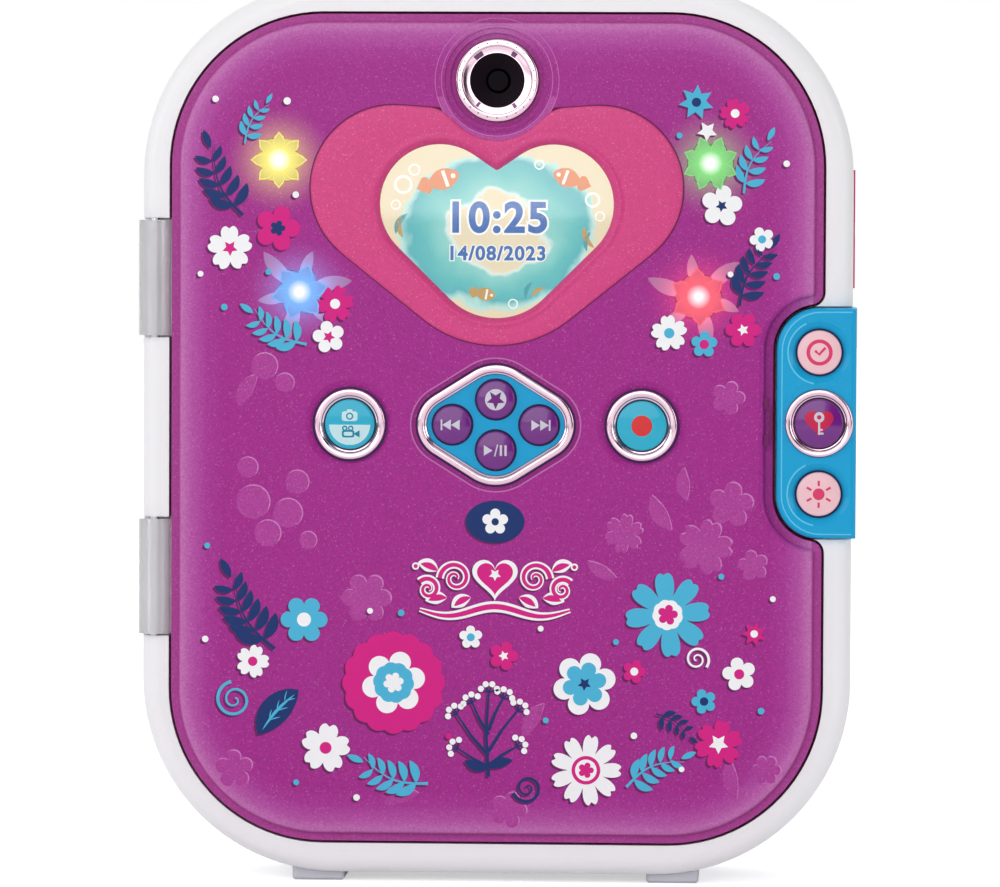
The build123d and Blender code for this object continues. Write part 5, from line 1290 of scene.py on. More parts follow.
sprig("cyan", -18.0, 27.5, 22.0, 158, 5)
sprig("cyan", 36.0, 27.0, 20.0, 24, 5)
sprig("navy", 44.0, 47.0, 13.0, -38, 4)
motif("navy", leaf(1.0, 0.24, 0.06, 0.7), -64.5, 40.5, 16.5, 48)
stamp("cyan", 2, leaf(1.0, 0.03, 0.05), -63.4, 41.6, 13.5, 48)
for turn in (78, 18):
    for along in (0.3, 0.5, 0.7):
        stamp("cyan", 2, leaf(1.0, 0.05, 0.05), -64.5 + 16.5 * along * math.cos(math.radians(51)),
              40.5 + 16.5 * along * math.sin(math.radians(51)), 3.2, turn)
motif("cyan", spiral(1.9, 5.0, 0.9), -71.0, 50.0, 1.0, 100)
motif("white", spiral(1.8, 3.4, 0.75), 55.0, 62.0, 1.0, -40)
motif("navy", spiral(1.8, 4.0, 0.9), 9.0, 26.5, 1.0, 200)
print("motifs with the garland", sum(len(v) for v in printed.values()))

# %% [markdown]
# ### Branch with berries
# One upright branch stands in the middle of the garland. Its twigs are tapering bands that start at
# different heights, each ended by a fan of berries.

# %% Branch with berries


def branch(x, z, height):
    """Upright navy stem with side twigs, each ended by a small cluster of white berries."""
    twigs = [(0.0, 90, 1.0), (0.25, 128, 0.62), (0.3, 55, 0.6), (0.5, 118, 0.42), (0.55, 66, 0.42),
             (0.12, 150, 0.42), (0.14, 34, 0.4)]
    for start, turn, length in twigs:
        root = z + start * height
        motif("navy", strip([(0, 0), (0.5, 0.03), (1, 0)], [0.02 / length, 0.016 / length, 0.01 / length]),
              x, root,
              length * height, turn)
        tip_x = x + length * height * math.cos(math.radians(turn))
        tip_z = root + length * height * math.sin(math.radians(turn))
        for k in range(4):
            a = math.radians(turn - 66 + 44 * k)
            motif("navy", line([(0, 0), (0.5, 0), (1, 0)], 0.2), tip_x, tip_z, 1.9, math.degrees(a), 0.3)
            motif("white", DOT, tip_x + 2.4 * math.cos(a), tip_z + 2.4 * math.sin(a), 0.84, 0, 0.3)
    for side in (-1, 1):
        motif("navy", leaf(1.0, 0.2), x, z + 0.1 * height, 0.3 * height, 90 + side * 72)


branch(-1.5, 29.5, 23.0)
for x, z, r, ink in ((-34.0, 74.5, 0.8, "white"), (-25.5, 74.0, 0.9, "cyan"), (12.5, 70.0, 0.8, "white"),
                     (-54.0, 27.5, 0.8, "cyan"), (-37.5, 23.5, 0.9, "white"), (14.0, 45.0, 0.8, "cyan"),
                     (38.0, 41.0, 0.9, "white"), (72.5, 48.0, 0.9, "cyan"), (51.0, 32.0, 0.8, "white"),
                     (-79.0, 66.5, 0.9, "white"), (-12.5, 40.5, 0.8, "magenta"), (33.0, 66.5, 0.8, "cyan"),
                     (61.5, 84.5, 0.8, "cyan"), (-78.5, 92.0, 0.8, "cyan"), (75.5, 78.5, 0.8, "white")):
    motif(ink, DOT, x, z, r)
print("motifs with the branch", sum(len(v) for v in printed.values()))

# %% [markdown]
# ### Ornament under the buttons
# Between the buttons and the garland sit a dark oval with a flower and a wide ornament: a heart between
# coils, leaves and a wavy band. Each magenta shape lies on a wider white one, which gives its outline.

# %% Ornament under the buttons
motif("navy", superellipse(16.0, 11.6, 2.0), 0.0, 99.0, 1.0, 0, 0.4)
stamp("white", 2, ROUND5, 0.0, 99.0, 3.6, 18)
stamp("navy", 3, DOT, 0.0, 99.0, 1.0)


def flipped(shape, side):
    """The shape, or its mirror image where side is -1."""
    return shape[0] * np.array([side, 1, 1]), shape[1]


def edged(wide, thin, x, z, size=1.0, turn=0.0):
    """White shape with its painted shadow and a thinner magenta one on it."""
    motif("white", wide, x, z, size, turn, 0.5)
    stamp("magenta", 2, thin, x, z, size, turn)


motif("white", heart_shape(), 0.0, 84.0, 6.2, 0, 0.5)
stamp("magenta", 2, heart_shape(), 0.0, 84.1, 4.9)
stamp("white", 3, STAR5, 0.0, 84.6, 1.7, 90)
wave_x = np.linspace(-20.5, 20.5, 41)
wave = np.stack([wave_x, 74.6 + 1.3 * np.cos(wave_x / 4.1)], axis=-1)
edged(strip(wave, 1.5 - 0.9 * np.abs(wave_x / 20.5) ** 2), strip(wave,
                                                                 0.75 - 0.5 * np.abs(wave_x / 20.5) ** 2), 0,
      0)
for side in (-1, 1):
    for reach, rise, coil, turn in ((10.8, 83.6, 4.2, 0), (18.2, 80.6, 3.0, 40)):
        edged(flipped(spiral(1.5, coil, 2.3), side), flipped(spiral(1.5, coil, 1.2), side), side * reach,
              rise, 1.0,
              side * turn)
    for reach, rise, turn in ((6.5, 78.4, -28), (15.5, 85.5, 22), (13.0, 78.2, -8)):
        edged(flipped(leaf(1.0, 0.3), side), flipped(leaf(0.86, 0.17), side), side * reach, rise, 6.0,
              side * turn)
    edged(DOT, placed(DOT, 0, 0, 0.55), side * 21.6, 86.8, 1.0)
print("motifs", sum(len(v) for v in printed.values()))

# %% [markdown]
# ### From shapes to pieces
# All shapes are now pressed on the lid. A later ink lies a little higher, as real layers do, which also
# keeps two faces from lying in the same plane.

# %% Print pieces
on_lid = plane_at(FACE_Y)


def press(prefix, surface, body):
    """Lays all gathered shapes on a surface, one piece for each ink and layer, and starts a new list."""
    for (ink, layer), patches in sorted(printed.items()):
        laid_down = [laid(patch, surface, 0.015 + layer * LAYER, 0.02) for patch in patches]
        add_piece("{}_{}_{}".format(prefix, ink, layer), gather(laid_down), body, finishes["ink_" + ink],
                  closed=False)
    print(prefix, "pieces", len(printed))
    printed.clear()


press("print", on_lid, "lid")

# %% [markdown]
# ## Tone-on-tone relief
# Larger shapes stand a few hundredths of a millimetre out of the lid, in nearly its own colour but painted a
# tone lighter as light on them. A lighter copy, moved towards the light, is a painted highlight: a fine
# bright edge on one side.

# %% Relief


def relief_finish(name, colour):
    """The lid's own glitter in a neighbouring colour, painted lighter as light on the relief."""
    return glittered(name, colour, paint("F3B8E4"), 0.28, 0.4, Coat_Weight=0.3)[0]


# painted light on the relief: the shapes a tone lighter than the lid, their edges lighter still
finishes["relief"] = relief_finish("relief_painted_light", paint("AD3596"))
finishes["relief_edge"] = relief_finish("relief_painted_highlight", paint("CB78BC"))
RELIEF = [(DOT, -66, 104, 4.6, 0), (DOT, -56.5, 101, 4.0, 0), (DOT, -62, 95.5, 3.6, 0),
          (DOT, -54, 109.5, 3.2, 0),
          (DOT, -51, 93.6, 2.4, 0), (DOT, -67.5, 113.4, 2.8, 0), (ROUND5, 64, 104, 6.2, 10),
          (NOTCHED5, 57, 92.5, 7.6, 0),
          (ROUND5, 70, 87.5, 4.2, 30), (leaf(1, 0.2), 48, 97, 11, 120), (leaf(1, 0.2), 52, 105, 9, 95),
          (NOTCHED6, 35, 96, 5.4, 20), (leaf(1, 0.2), 33, 84, 9, 150), (ROUND6, -35, 78, 6.8, 0),
          (DOT, -63, 141, 3.6, 0), (DOT, -57.5, 136.5, 2.6, 0), (ROUND5, 63, 133, 4.6, 0),
          (leaf(1, 0.2), -70, 130, 10, 60),
          (leaf(1, 0.18), 8, 40, 11, 60), (leaf(1, 0.18), 66, 24, 11, 100), (ROUND5, 4, 20.5, 5.0, 0),
          (ROUND5, -71, 31, 5.2, 20), (leaf(1, 0.2), -30, 21.5, 10, 20), (ROUND6, 74, 32, 4.0, 0)]
for name, finish, shift, grow, lift in (("relief_highlight_edges", "relief_edge", 0.13, 0.06, 0.004),
                                        ("relief_shapes", "relief", 0.0, 0.0, 0.009)):
    patches = [laid(placed(shape, x + shift, z + shift, size + grow, turn), on_lid, lift, 0.015)
               for shape, x, z, size, turn in RELIEF]
    add_piece(name, gather(patches), "lid", finishes[finish], closed=False)
print("relief shapes", len(RELIEF))

# %% [markdown]
# ## Lit flowers
# Over each lamp a flower of clear petals shines in the lamp's colour and is white at its heart. Two of
# them have long pointed petals that reach over the lid as pale, half-clear streaks.

# %% Petals round the lamps


def streak_finish():
    """Half-clear streaks, densest near the lamp: alpha falls with the glow's distance, and the lamps' painted
    glow shines in them.
    """
    material, tree, shader = new_finish("petal_streak", Coat_Weight=0.2)
    glow = use_group(tree, GLOW, Reach=0.019)
    skin(tree, shader, Colour=paint("D9A7D4"), Roughness=0.3)
    tree.links.new(glow.outputs["Colour"], shader.inputs["Emission Color"])
    shader.inputs["Emission Strength"].default_value = 1.3
    tree.links.new(math_node(tree, "ADD", 0.42, math_node(tree, "MULTIPLY", glow.outputs["Core"], 1.1),
                             clamp=True),
                   shader.inputs["Alpha"])
    return material


finishes["streak"] = streak_finish()
streaks = []
for (x, z), turn in ((LAMPS[1][0], 12), (LAMPS[3][0], 40)):
    for k in range(6):
        a = turn + 60 * k
        streaks.append(laid(placed(leaf(1.0, 0.17, 0.04, 0.75), x + 2.6 * math.cos(math.radians(a)),
                                   z + 2.6 * math.sin(math.radians(a)), 12.0 - 3.0 * (k % 2), a), on_lid,
                            0.012, 0.02))
add_piece("petal_streaks", gather(streaks), "lid", finishes["streak"], closed=False)
lit_flowers, lit_rims = [], []
for k, ((x, z), _) in enumerate(LAMPS):
    shape = notched(8, 0.62, -0.12) if k % 2 == 0 else notched(6, 0.6, -0.14)
    lit_rims.append(laid(placed(shape, x, z, 6.9, 11 * k), on_lid, 0.105, 0.02))
    lit_flowers.append(laid(placed(shape, x, z, 6.4, 11 * k), on_lid, 0.13, 0.05))
add_piece("lit_flowers", gather(lit_flowers), "lid", finishes["flower_plastic"],
          closed=False)
add_piece("lit_rims", gather(lit_rims), "lid", make_petal_finish("lit_rim", 1.9),
          closed=False)
print("streaks", len(streaks), "lit flowers", len(lit_flowers))

# %% [markdown]
# ## The display
# Behind the clear window lies a lit panel. Its picture is a turquoise sea with sandy patches, made by
# noise and an oval, with small shapes and figures laid over it. The panel shines by itself, so its
# colours do not depend on the lamps.

# %% Display panel
PANEL_LOW, PANEL_HIGH = box_mm("display_panel")
SCREEN_Y = PANEL_LOW[1] + 0.12


def lit(name, colour, strength=0.9):
    """Lit ink: a dark surface that shines in one colour, with a fine grain in it."""
    material, tree, shader = new_finish(name, Roughness=0.4)
    grain = use_group(tree, GRAIN, Colour=colour, Drift=0.05, Grain=3000.0)
    tree.links.new(grain.outputs["Colour"], shader.inputs["Emission Color"])
    shader.inputs["Emission Strength"].default_value = strength
    skin(tree, shader, Colour=paint("101018"))
    return material


def sea_finish():
    """Turquoise with lighter wave lines; sand where noise and the oval's distance together pass a limit."""
    material, tree, shader = new_finish("display_picture")
    place = object_place(tree)
    wobble = noise(tree, place, 110.0, 3.0)
    offset = vector_node(tree, "SUBTRACT", place, (0.0, 0.0, 0.178))
    oval = vector_node(tree, "MULTIPLY", offset, (1.0, 0.0, 1.25))
    away = vector_node(tree, "LENGTH", oval, out=1)
    spread = math_node(tree, "ADD", away, math_node(tree, "MULTIPLY", centred(tree, wobble), 0.010))
    codes = ((0.30, "F1E1BC"), (0.335, "E8F6EE"), (0.36, "8ED8D0"), (0.50, "5CC4C2"), (0.60, "46B6BC"),
             (0.66, "BFEAE2"), (0.69, "F0DEB8"))
    picture = colour_ramp(tree, math_node(tree, "MULTIPLY", spread, 25.0), paint("F3E4C2"), paint("EFDDB4"),
                          [(at, paint(code)) for at, code in codes])
    grain = use_group(tree, GRAIN, Colour=picture, Drift=0.06, Grain=2600.0)
    tree.links.new(grain.outputs["Colour"], shader.inputs["Emission Color"])
    shader.inputs["Emission Strength"].default_value = 0.9
    skin(tree, shader, Colour=paint("101018"))
    return material


def panel_patch():
    """Superellipse section of power 12 swept along Y with softened rims: a thin tile."""
    middle = (PANEL_LOW + PANEL_HIGH) / 2
    half = (PANEL_HIGH - PANEL_LOW) / 2
    t = np.linspace(0, 2 * math.pi, 96, endpoint=False)
    r = ((np.abs(np.cos(t)) / half[0]) ** 12 + (np.abs(np.sin(t)) / half[2]) ** 12) ** (-1 / 12)
    share = np.array([0.0, 0.6, 0.985, 1.0, 1.0, 0.985, 0.0])[:, None]
    depth = np.array([SCREEN_Y, SCREEN_Y, SCREEN_Y, SCREEN_Y + 0.2, PANEL_HIGH[1] - 0.2, PANEL_HIGH[1],
                      PANEL_HIGH[1]])
    points = np.stack([middle[0] + share * r * np.cos(t), depth[:, None] + 0 * t,
                       middle[2] + share * r * np.sin(t)],
                      axis=-1)
    return points.reshape(-1, 3), grid_faces(7, 96, close_columns=True)


panel = add_piece("display_screen", panel_patch(), "lid", sea_finish())
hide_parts("display_panel")
print("screen at", round(SCREEN_Y, 2), "mm")

# %% [markdown]
# ### Small shapes on the display
# Fish, bubbles and weeds are the same kinds of shapes as the prints, but lit. They lie a hair in front
# of the picture.

# %% Small shapes on the display
SHOWN = {"blue": lit("lit_blue", paint("2266B5")), "white": lit("lit_white", paint("FBFBF6"), 0.95),
         "orange": lit("lit_orange", paint("E8823C")), "gold": lit("lit_gold", paint("C99A4A")),
         "teal": lit("lit_teal", paint("2E9CA8"))}
shown = {}


def show(ink, layer, shape, x, z, size=1.0, turn=0.0):
    """Adds a shape to the list of its ink and layer on the display."""
    shown.setdefault((ink, layer), []).append(placed(shape, x, z, size, turn))


def fish(x, z, size, turn, ink, stripe):
    """Leaf-shaped body, a heart-like tail and a stripe."""
    c, s = math.cos(math.radians(turn)), math.sin(math.radians(turn))
    show(ink, 0, leaf(1.0, 0.32, 0.0, 0.7), x - 0.5 * size * c, z - 0.5 * size * s, size, turn)
    show(ink, 0, heart_shape(), x - 0.62 * size * c, z - 0.62 * size * s, 0.26 * size, turn - 90)
    show(stripe, 1, bar(0.1, 0.5), x + 0.05 * size * c, z + 0.05 * size * s, size, turn)
    show("white", 1, DOT, x + 0.3 * size * c, z + 0.3 * size * s, 0.07 * size)


fish(-14.5, 192.0, 9.0, 20, "orange", "white")
fish(19.0, 192.5, 8.0, 160, "orange", "white")
fish(-3.0, 160.8, 5.6, -10, "gold", "white")
for x, z, r in ((-25.5, 190.5, 2.2), (-22.5, 194.5, 1.4), (-27.5, 185.0, 1.2), (26.0, 186.5, 1.8),
                (28.0, 182.0, 1.2),
                (11.5, 196.0, 1.2), (4.5, 158.2, 1.2)):
    show("white", 0, circle_band(1.0, 0.3), x, z, r)
for x, z, size, turn in ((-27.5, 177.0, 6.5, 60), (-25.5, 176.0, 6.0, 95), (26.5, 173.5, 6.5, 115),
                         (24.5, 172.5, 5.5, 80), (8.0, 159.5, 5.0, 70), (9.5, 160.0, 4.5, 35)):
    show("gold" if turn % 10 else "teal", 0, leaf(1.0, 0.12, 0.15), x, z, size, turn)
for (ink, layer), patches in sorted(shown.items()):
    flat = [laid(patch, plane_at(SCREEN_Y), 0.012 + 0.02 * layer, 0.0) for patch in patches]
    add_piece("shown_{}_{}".format(ink, layer), gather(flat), "lid", SHOWN[ink],
              closed=False)
print("kinds of small shapes", len(shown))

# %% [markdown]
# ### Figures on the display
# The clock shows a time and a date in figures. Blender's text object draws them; the outline is grown
# for a white rim and less for the blue face, and both become meshes before they are placed.

# %% Figures on the display


def figures(name, text, x, z, height, bold, lift, material):
    """Figures as a flat mesh: digits of a given height, centred, with their outline grown by bold."""
    curve = bpy.data.curves.new(name, "FONT")
    curve.body = text
    curve.size = height / 0.7
    curve.align_x = "CENTER"
    curve.offset = bold
    curve.space_character = 1.12
    curve.resolution_u = 6
    drawn = bpy.data.objects.new(name, curve)
    bpy.context.collection.objects.link(drawn)
    bpy.context.view_layer.update()
    flat = bpy.data.meshes.new_from_object(drawn.evaluated_get(bpy.context.evaluated_depsgraph_get()))
    points = np.zeros(len(flat.vertices) * 3)
    flat.vertices.foreach_get("co", points)
    points = points.reshape(-1, 3)
    points = np.stack([points[:, 0] + x, np.full(len(points), SCREEN_Y - lift),
                       points[:, 1] + z - height / 2],
                      axis=-1) * MM
    flat.vertices.foreach_set("co", points.ravel())
    flat.name = name
    bpy.data.objects.remove(drawn)
    bpy.data.curves.remove(curve)
    normals = np.zeros(len(flat.polygons) * 3)
    flat.polygons.foreach_get("normal", normals)
    if normals.reshape(-1, 3)[:, 1].sum() > 0:
        flat.flip_normals()
    flat.materials.clear()
    flat.materials.append(material)
    piece = bpy.data.objects.new(name, flat)
    bpy.context.collection.objects.link(piece)
    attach(piece, "lid")
    return piece


for name, bold, lift, ink in (("edge", 0.9, 0.05, "white"), ("face", 0.36, 0.07, "blue")):
    figures("time_" + name, "10:25", 0.0, 181.8, 8.0, bold, lift, SHOWN[ink])
    figures("date_" + name, "14/08/2023", 0.0, 172.0, 3.7, bold * 0.5, lift, SHOWN[ink])
print("display pieces", len(shown) + 4)

# %% [markdown]
# ## Inside
# With the lid open one sees the note pad, whose cover carries a wreath of the same flowers round a
# heart, and the lid's inner panel with flowers in low relief.

# %% Note pad cover
PAD_LOW, PAD_HIGH = box_mm("notepad_cover")
PAD_X, PAD_Z = (PAD_LOW[0] + PAD_HIGH[0]) / 2, (PAD_LOW[2] + PAD_HIGH[2]) / 2
motif("white", heart_shape(), PAD_X, PAD_Z, 15.5)
stamp("magenta", 2, heart_shape(), PAD_X, PAD_Z + 0.2, 13.4)
stamp("white", 3, ROUND5, PAD_X, PAD_Z + 1.5, 5.0, 18)
stamp("cyan", 4, DOT, PAD_X, PAD_Z + 1.5, 1.5)
for k in range(12):
    a = math.radians(30 * k)
    x, z = PAD_X + 29 * math.cos(a), PAD_Z + 33 * math.sin(a)
    if k % 2:
        sprig("navy" if k % 4 == 1 else "cyan", x, z, 12.0, 30 * k + 55, 4)
    else:
        bloom(x, z, 5.6 - 0.4 * (k % 3), [(("white", "magenta", "cyan")[k % 3],
                                           NOTCHED5 if k % 4 else ROUND6, 1),
                                          (("magenta", "white", "white")[k % 3], DOT, 0.3)], 17 * k)
for x in (-1, 1):
    for z in (-1, 1):
        bloom(PAD_X + 37 * x, PAD_Z + 57 * z, 4.6, [("magenta", ROUND5, 1), ("white", STAR5, 0.4)], 20)
        motif("white", DOT, PAD_X + 28 * x, PAD_Z + 60 * z, 1.0)
press("pad", plane_at(PAD_LOW[1]), "case")

# %% [markdown]
# ### Relief on the inner panel
# The inner panel's flowers are a quarter of a millimetre high with rounded rims, so a slightly lighter satin,
# painted light on the raised flowers, is enough to show them.

# %% Inner panel relief
INNER_Y = box_mm("lid_inner_panel")[1][1]
finishes["inner_relief_painted_light"] = moulded("inner_relief_painted_light", paint("EC8FB6"), 0.4, 0.05, 0.12, 1400.0, 0.00003)
INNER = [(heart_shape(), 6, 150, 21.0, 0), (ROUND5, -42, 190, 10.0, 0), (NOTCHED5, 46, 196, 9.0, 10),
         (ROUND6, -34, 62, 11.0, 5), (NOTCHED6, 34, 58, 12.0, 0), (ROUND5, 0, 44, 7.0, 20),
         (leaf(1, 0.2), -22, 74, 15, 50),
         (leaf(1, 0.2), 22, 76, 15, 125), (DOT, -52, 104, 3.0, 0), (DOT, 52, 100, 3.6, 0),
         (DOT, -60, 150, 2.6, 0),
         (STAR5, 56, 150, 6.0, 0), (STAR5, -20, 206, 5.0, 20), (DOT, 16, 210, 2.6, 0)]
patches = [laid(placed(shape, x, z, size, turn), plane_at(INNER_Y), -0.01, -0.25)
           for shape, x, z, size, turn in INNER]
add_piece("inner_relief_painted_light", gather(patches), "lid", finishes["inner_relief_painted_light"], closed=False,
          facing=1)
print("inside done")

# %% [markdown]
# ## Lines round the parts
# Painted shade in the gaps and painted highlights along the edges tell the eye where one part ends. The heart
# frame sits in a groove whose shade is painted, the plated rings carry a painted dark reflection on their inner
# line, and the latch has a slot for the lid's keeper, whose shade is painted too.

# %% Fine lines
finishes["shade_dark"] = moulded("shade_dark", paint("6E1E5A"), 0.4)
finishes["reflection_copper"] = metal("reflection_copper", paint("6B3A44"), 0.2)
# painted highlights: light lines round the rhombus and the camera recess
finishes["highlight_line"] = moulded("highlight_line", paint("C06CB2"), 0.35)
# painted shade in the gaps round rings, caps and the rhombus
finishes["shade_navy"] = moulded("shade_navy", paint("1B1148"), 0.35)
PLATE_Y = box_mm("nav_plate")[0][1]


def band_round(radii_inner, radii_outer, y_inner, y_outer, middle):
    """Flat band between two outlines."""
    return ring_surface([radii_inner, radii_outer], [y_inner, y_outer], middle, close=False)


heart_edge = [outline(HEART, HEART_MIDDLE, g, HEART_BITE, soften=1) for g in (0.0, 0.35, 0.75)]
nav_edge = [outline(NAV, NAV_MIDDLE, g) for g in (0.0, 0.4, 1.5, 1.9)]
# painted shade: a dark groove line round the heart frame
add_piece("heart_gap_shade", band_round(heart_edge[0], heart_edge[1], FACE_Y - 0.02, FACE_Y - 0.02, HEART_MIDDLE),
          "lid",
          finishes["shade_dark"], closed=False)
# painted highlight: a light line just outside the rhombus
add_piece("nav_highlight", band_round(nav_edge[2], nav_edge[3], FACE_Y - 0.015, FACE_Y - 0.015, NAV_MIDDLE), "lid",
          finishes["highlight_line"], closed=False)
# painted shade: navy bands on the lid face just outside the two lid rings
copper = []
for name, node, body in PLATED:
    low, high, middle = box_and_middle(node)
    # painted reflection: a dark copper line all round the inner step of each plated ring
    inner_reflection = arc_patch(middle[0], middle[2], 7.05, 7.7, 0, 360, low[1] + 0.84, low[1] + 0.68, 97)
    add_piece(name + "_line", inner_reflection, body, finishes["reflection_copper"], closed=False)
    copper.append(arc_patch(middle[0], middle[2], 9.7, 10.15, 0, 360, FACE_Y - 0.02, FACE_Y - 0.02, 97))
add_piece("ring_shades", gather(copper[:2]), "lid", finishes["shade_navy"], closed=False)
# painted shade in the slot for the lid's keeper
keeper = [laid(placed(superellipse(1.0, 3.2), 73.4, z), on_lid, 0.01, 0.05) for z in (131.6, 121.4)]
keeper.append(laid(placed(superellipse(0.8, 10.0), 74.6, 126.5), on_lid, 0.01, 0.03))
# painted shade in the gaps round the rhombus caps
cap_gap_shades = [arc_patch(CAPS[node][0], CAPS[node][1], 5.27, 5.75, 0, 360, PLATE_Y - 0.02, PLATE_Y - 0.02, 73)
            for node in ("star_button", "previous_button", "next_button", "play_button")]
add_piece("cap_gap_shades", gather(cap_gap_shades), "lid", finishes["shade_navy"], closed=False)
# painted shade in the gap round the rhombus
add_piece("rhombus_gap_shade", band_round(nav_edge[0], nav_edge[1], FACE_Y - 0.02, FACE_Y - 0.02, NAV_MIDDLE),
          "lid",
          finishes["shade_navy"], closed=False)
# painted highlight: only the lower arc of the camera recess's rim, in the relief's lighter tone
add_piece("recess_rim", arc_patch(CAMERA_X, CAMERA_Z, 15.2, 17.0, 196, 344, FACE_Y - 0.03, FACE_Y - 0.03,
                                  97), "lid",
          finishes["relief"], closed=False)
add_piece("recess_highlights", gather([arc_patch(CAMERA_X, CAMERA_Z, r, r + w, 0, 360, FACE_Y - 0.05,
                                            FACE_Y - 0.05, 129)
                                  for r, w in ((15.0, 0.22), (16.7, 0.2))]), "lid", finishes["highlight_line"],
          closed=False)


def front_y(node, x, z):
    """Where a ray from the front meets the node."""
    hit, place, _, _ = frame["nodes"][node].ray_cast(Vector((x, -60, z)) * MM, Vector((0, 1, 0)))
    return place[1] / MM if hit else box_mm(node)[0][1]


# painted highlights on the latch housing: a light blue line along its rounded left rim and light arcs on the
# left and lower left edges of its dishes
finishes["highlight_sky"] = moulded("highlight_sky", paint("63CBEF"), 0.3)
HOUSING_Y = box_mm("latch_housing")[0][1] - 0.015
turn = np.radians(np.linspace(90, 180, 10))
corner = np.stack([88.2 + 10.6 * np.cos(turn), 145.8 + 10.6 * np.sin(turn)], axis=-1)
under = np.stack([88.2 + 10.6 * np.cos(turn + math.pi / 2), 106.8 + 10.6 * np.sin(turn + math.pi / 2)],
                 axis=-1)
rim_path = np.concatenate([[(96.6, 156.4)], corner, under, [(96.6, 96.2)]])
sky = [laid(strip(rim_path, np.full(len(rim_path), 0.16)), plane_at(HOUSING_Y), 0.0, 0.0)]
# painted shade in the gaps round the latch caps
latch_gap_shades = []
for node in ("clock_button", "light_button"):
    x, z = CAPS[node][:2]
    sky.append(arc_patch(x, z, 8.35, 8.75, 115, 260, HOUSING_Y, HOUSING_Y, 25))
    floor_y = front_y("latch_housing", x - 6.9, z) - 0.02
    latch_gap_shades.append(arc_patch(x, z, 6.0, 6.5, 0, 360, floor_y, floor_y, 73))
add_piece("housing_highlights", gather(sky), "case", finishes["highlight_sky"], closed=False)
add_piece("latch_gap_shades", gather(latch_gap_shades), "case", finishes["shade_navy"], closed=False)
add_piece("keeper_slot_shade", gather(keeper), "lid", finishes["shade_dark"], closed=False)
print("lines done")

# %% [markdown]
# ## Floor, backdrop and light
# The photograph shows the toy alone on white. A wide pale floor takes the soft shadow at the feet, and
# the room round it is white. Both shine a little more towards the camera, mirrors and glass than on the
# toy, so that they read white without lighting it.

# %% Stage
FLOOR_Z = float(box_mm("feet")[0][2])


def seen_by_eye(tree):
    """One for camera, mirror and glass rays, nought for the rays that light the toy."""
    path = tree.nodes.new("ShaderNodeLightPath")
    return math_node(tree, "MAXIMUM", path.outputs["Is Camera Ray"],
                     math_node(tree, "MAXIMUM", path.outputs["Is Glossy Ray"],
                               path.outputs["Is Transmission Ray"]))


def floor_finish():
    """Pale matt paper that also shines where it is seen."""
    material, tree, shader = new_finish("floor_paper", Roughness=0.9)
    skin(tree, shader, Colour=paint("F4F4F6"), Drift=0.004, Roughness=0.9, Grain=400.0)
    away = vector_node(tree, "LENGTH", object_place(tree), out=1)
    far = math_node(tree, "DIVIDE", math_node(tree, "SUBTRACT", away, 0.5), 1.2, clamp=True)
    level = math_node(tree, "ADD", 0.5, math_node(tree, "MULTIPLY", far, 0.5))
    glow = scaled(tree, (1.0, 1.0, 1.0), math_node(tree, "MULTIPLY", seen_by_eye(tree), level))
    tree.links.new(glow, shader.inputs["Emission Color"])
    shader.inputs["Emission Strength"].default_value = 1.0
    return material


def stage_sheet():
    """Level grid, seven metres to each side."""
    across, deep = np.meshgrid(np.linspace(-7000, 7000, 15), np.linspace(-7000, 7000, 15), indexing="ij")
    points = np.stack([across.ravel(), deep.ravel(), np.full(225, FLOOR_Z)], axis=-1)
    mesh = bpy.data.meshes.new("stage")
    mesh.from_pydata((points * MM).tolist(), [], grid_faces(15, 15).tolist())
    mesh.materials.append(floor_finish())
    sheet = bpy.data.objects.new("stage", mesh)
    bpy.context.collection.objects.link(sheet)
    return sheet


stage_sheet()
print("floor at", round(FLOOR_Z, 2), "mm")

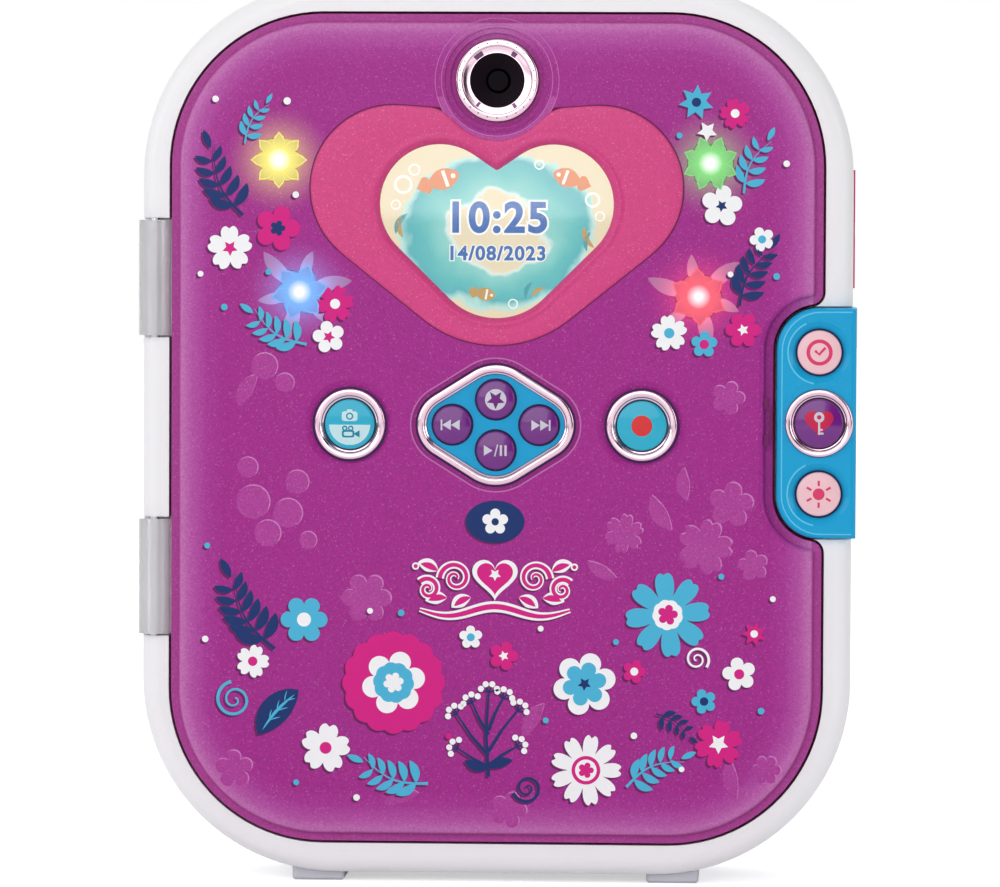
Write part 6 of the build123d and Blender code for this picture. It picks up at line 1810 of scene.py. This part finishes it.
# %% [markdown]
# ### Lamps
# Large soft lamps from the front, both sides, above and behind light all sides about evenly. Three dark
# cards beside them are mirrored in the plated rings as thin dark streaks, as in a photographer's studio.

# %% Lamps


def lamp(name, place, size, watts, colour="FFFFFF"):
    """Square lamp at a place in millimetres, aimed at the middle of the lid."""
    data = bpy.data.lights.new(name, "AREA")
    data.size = size
    data.energy = watts
    data.color = paint(colour)[:3]
    made = bpy.data.objects.new(name, data)
    bpy.context.collection.objects.link(made)
    made.location = Vector(place) * MM
    made.rotation_euler = (made.location - Vector((0, 0, 0.12))).to_track_quat("Z", "Y").to_euler()
    return made


lamp("soft_front", (-250, -1500, 700), 1.1, 8.5)
lamp("soft_right", (1200, -700, 500), 0.7, 4.0)
lamp("soft_left", (-1200, -600, 600), 0.8, 4.5)
lamp("soft_top", (100, 100, 1500), 0.9, 4.0)
lamp("soft_back", (0, 1100, 900), 0.8, 4.0)


def dark_card(name, place, width, height):
    """Dark cloth on a frame beside the lamps, only there to be mirrored in the plated rings."""
    right = Vector((0, 0, 1)).cross(Vector(place)).normalized()
    points = [Vector(place) + right * (i * width / 8) + Vector((0, 0, j * height / 8))
              for i in range(-4, 5) for j in range(-4, 5)]
    mesh = bpy.data.meshes.new(name)
    mesh.from_pydata([tuple(p * MM) for p in points], [], grid_faces(9, 9).tolist())
    mesh.materials.append(moulded(name + "_cloth", paint("2A1A20"), 0.9))
    card = bpy.data.objects.new(name, mesh)
    bpy.context.collection.objects.link(card)


dark_card("card_right", (760, -640, 740), 420, 460)
dark_card("card_left", (-760, -1000, 330), 320, 560)
dark_card("card_front", (640, -1400, 520), 560, 1000)

world = bpy.data.worlds.new("world")
world.use_nodes = True
room = world.node_tree.nodes["Background"]
room.inputs["Color"].default_value = (1.0, 1.0, 1.0, 1.0)
ROOM_LIGHT = 0.3
tree = world.node_tree
added = math_node(tree, "MULTIPLY", seen_by_eye(tree), 1.0 - ROOM_LIGHT)
tree.links.new(math_node(tree, "ADD", ROOM_LIGHT, added), room.inputs["Strength"])
bpy.context.scene.world = world
bpy.context.scene.view_settings.view_transform = "Standard"
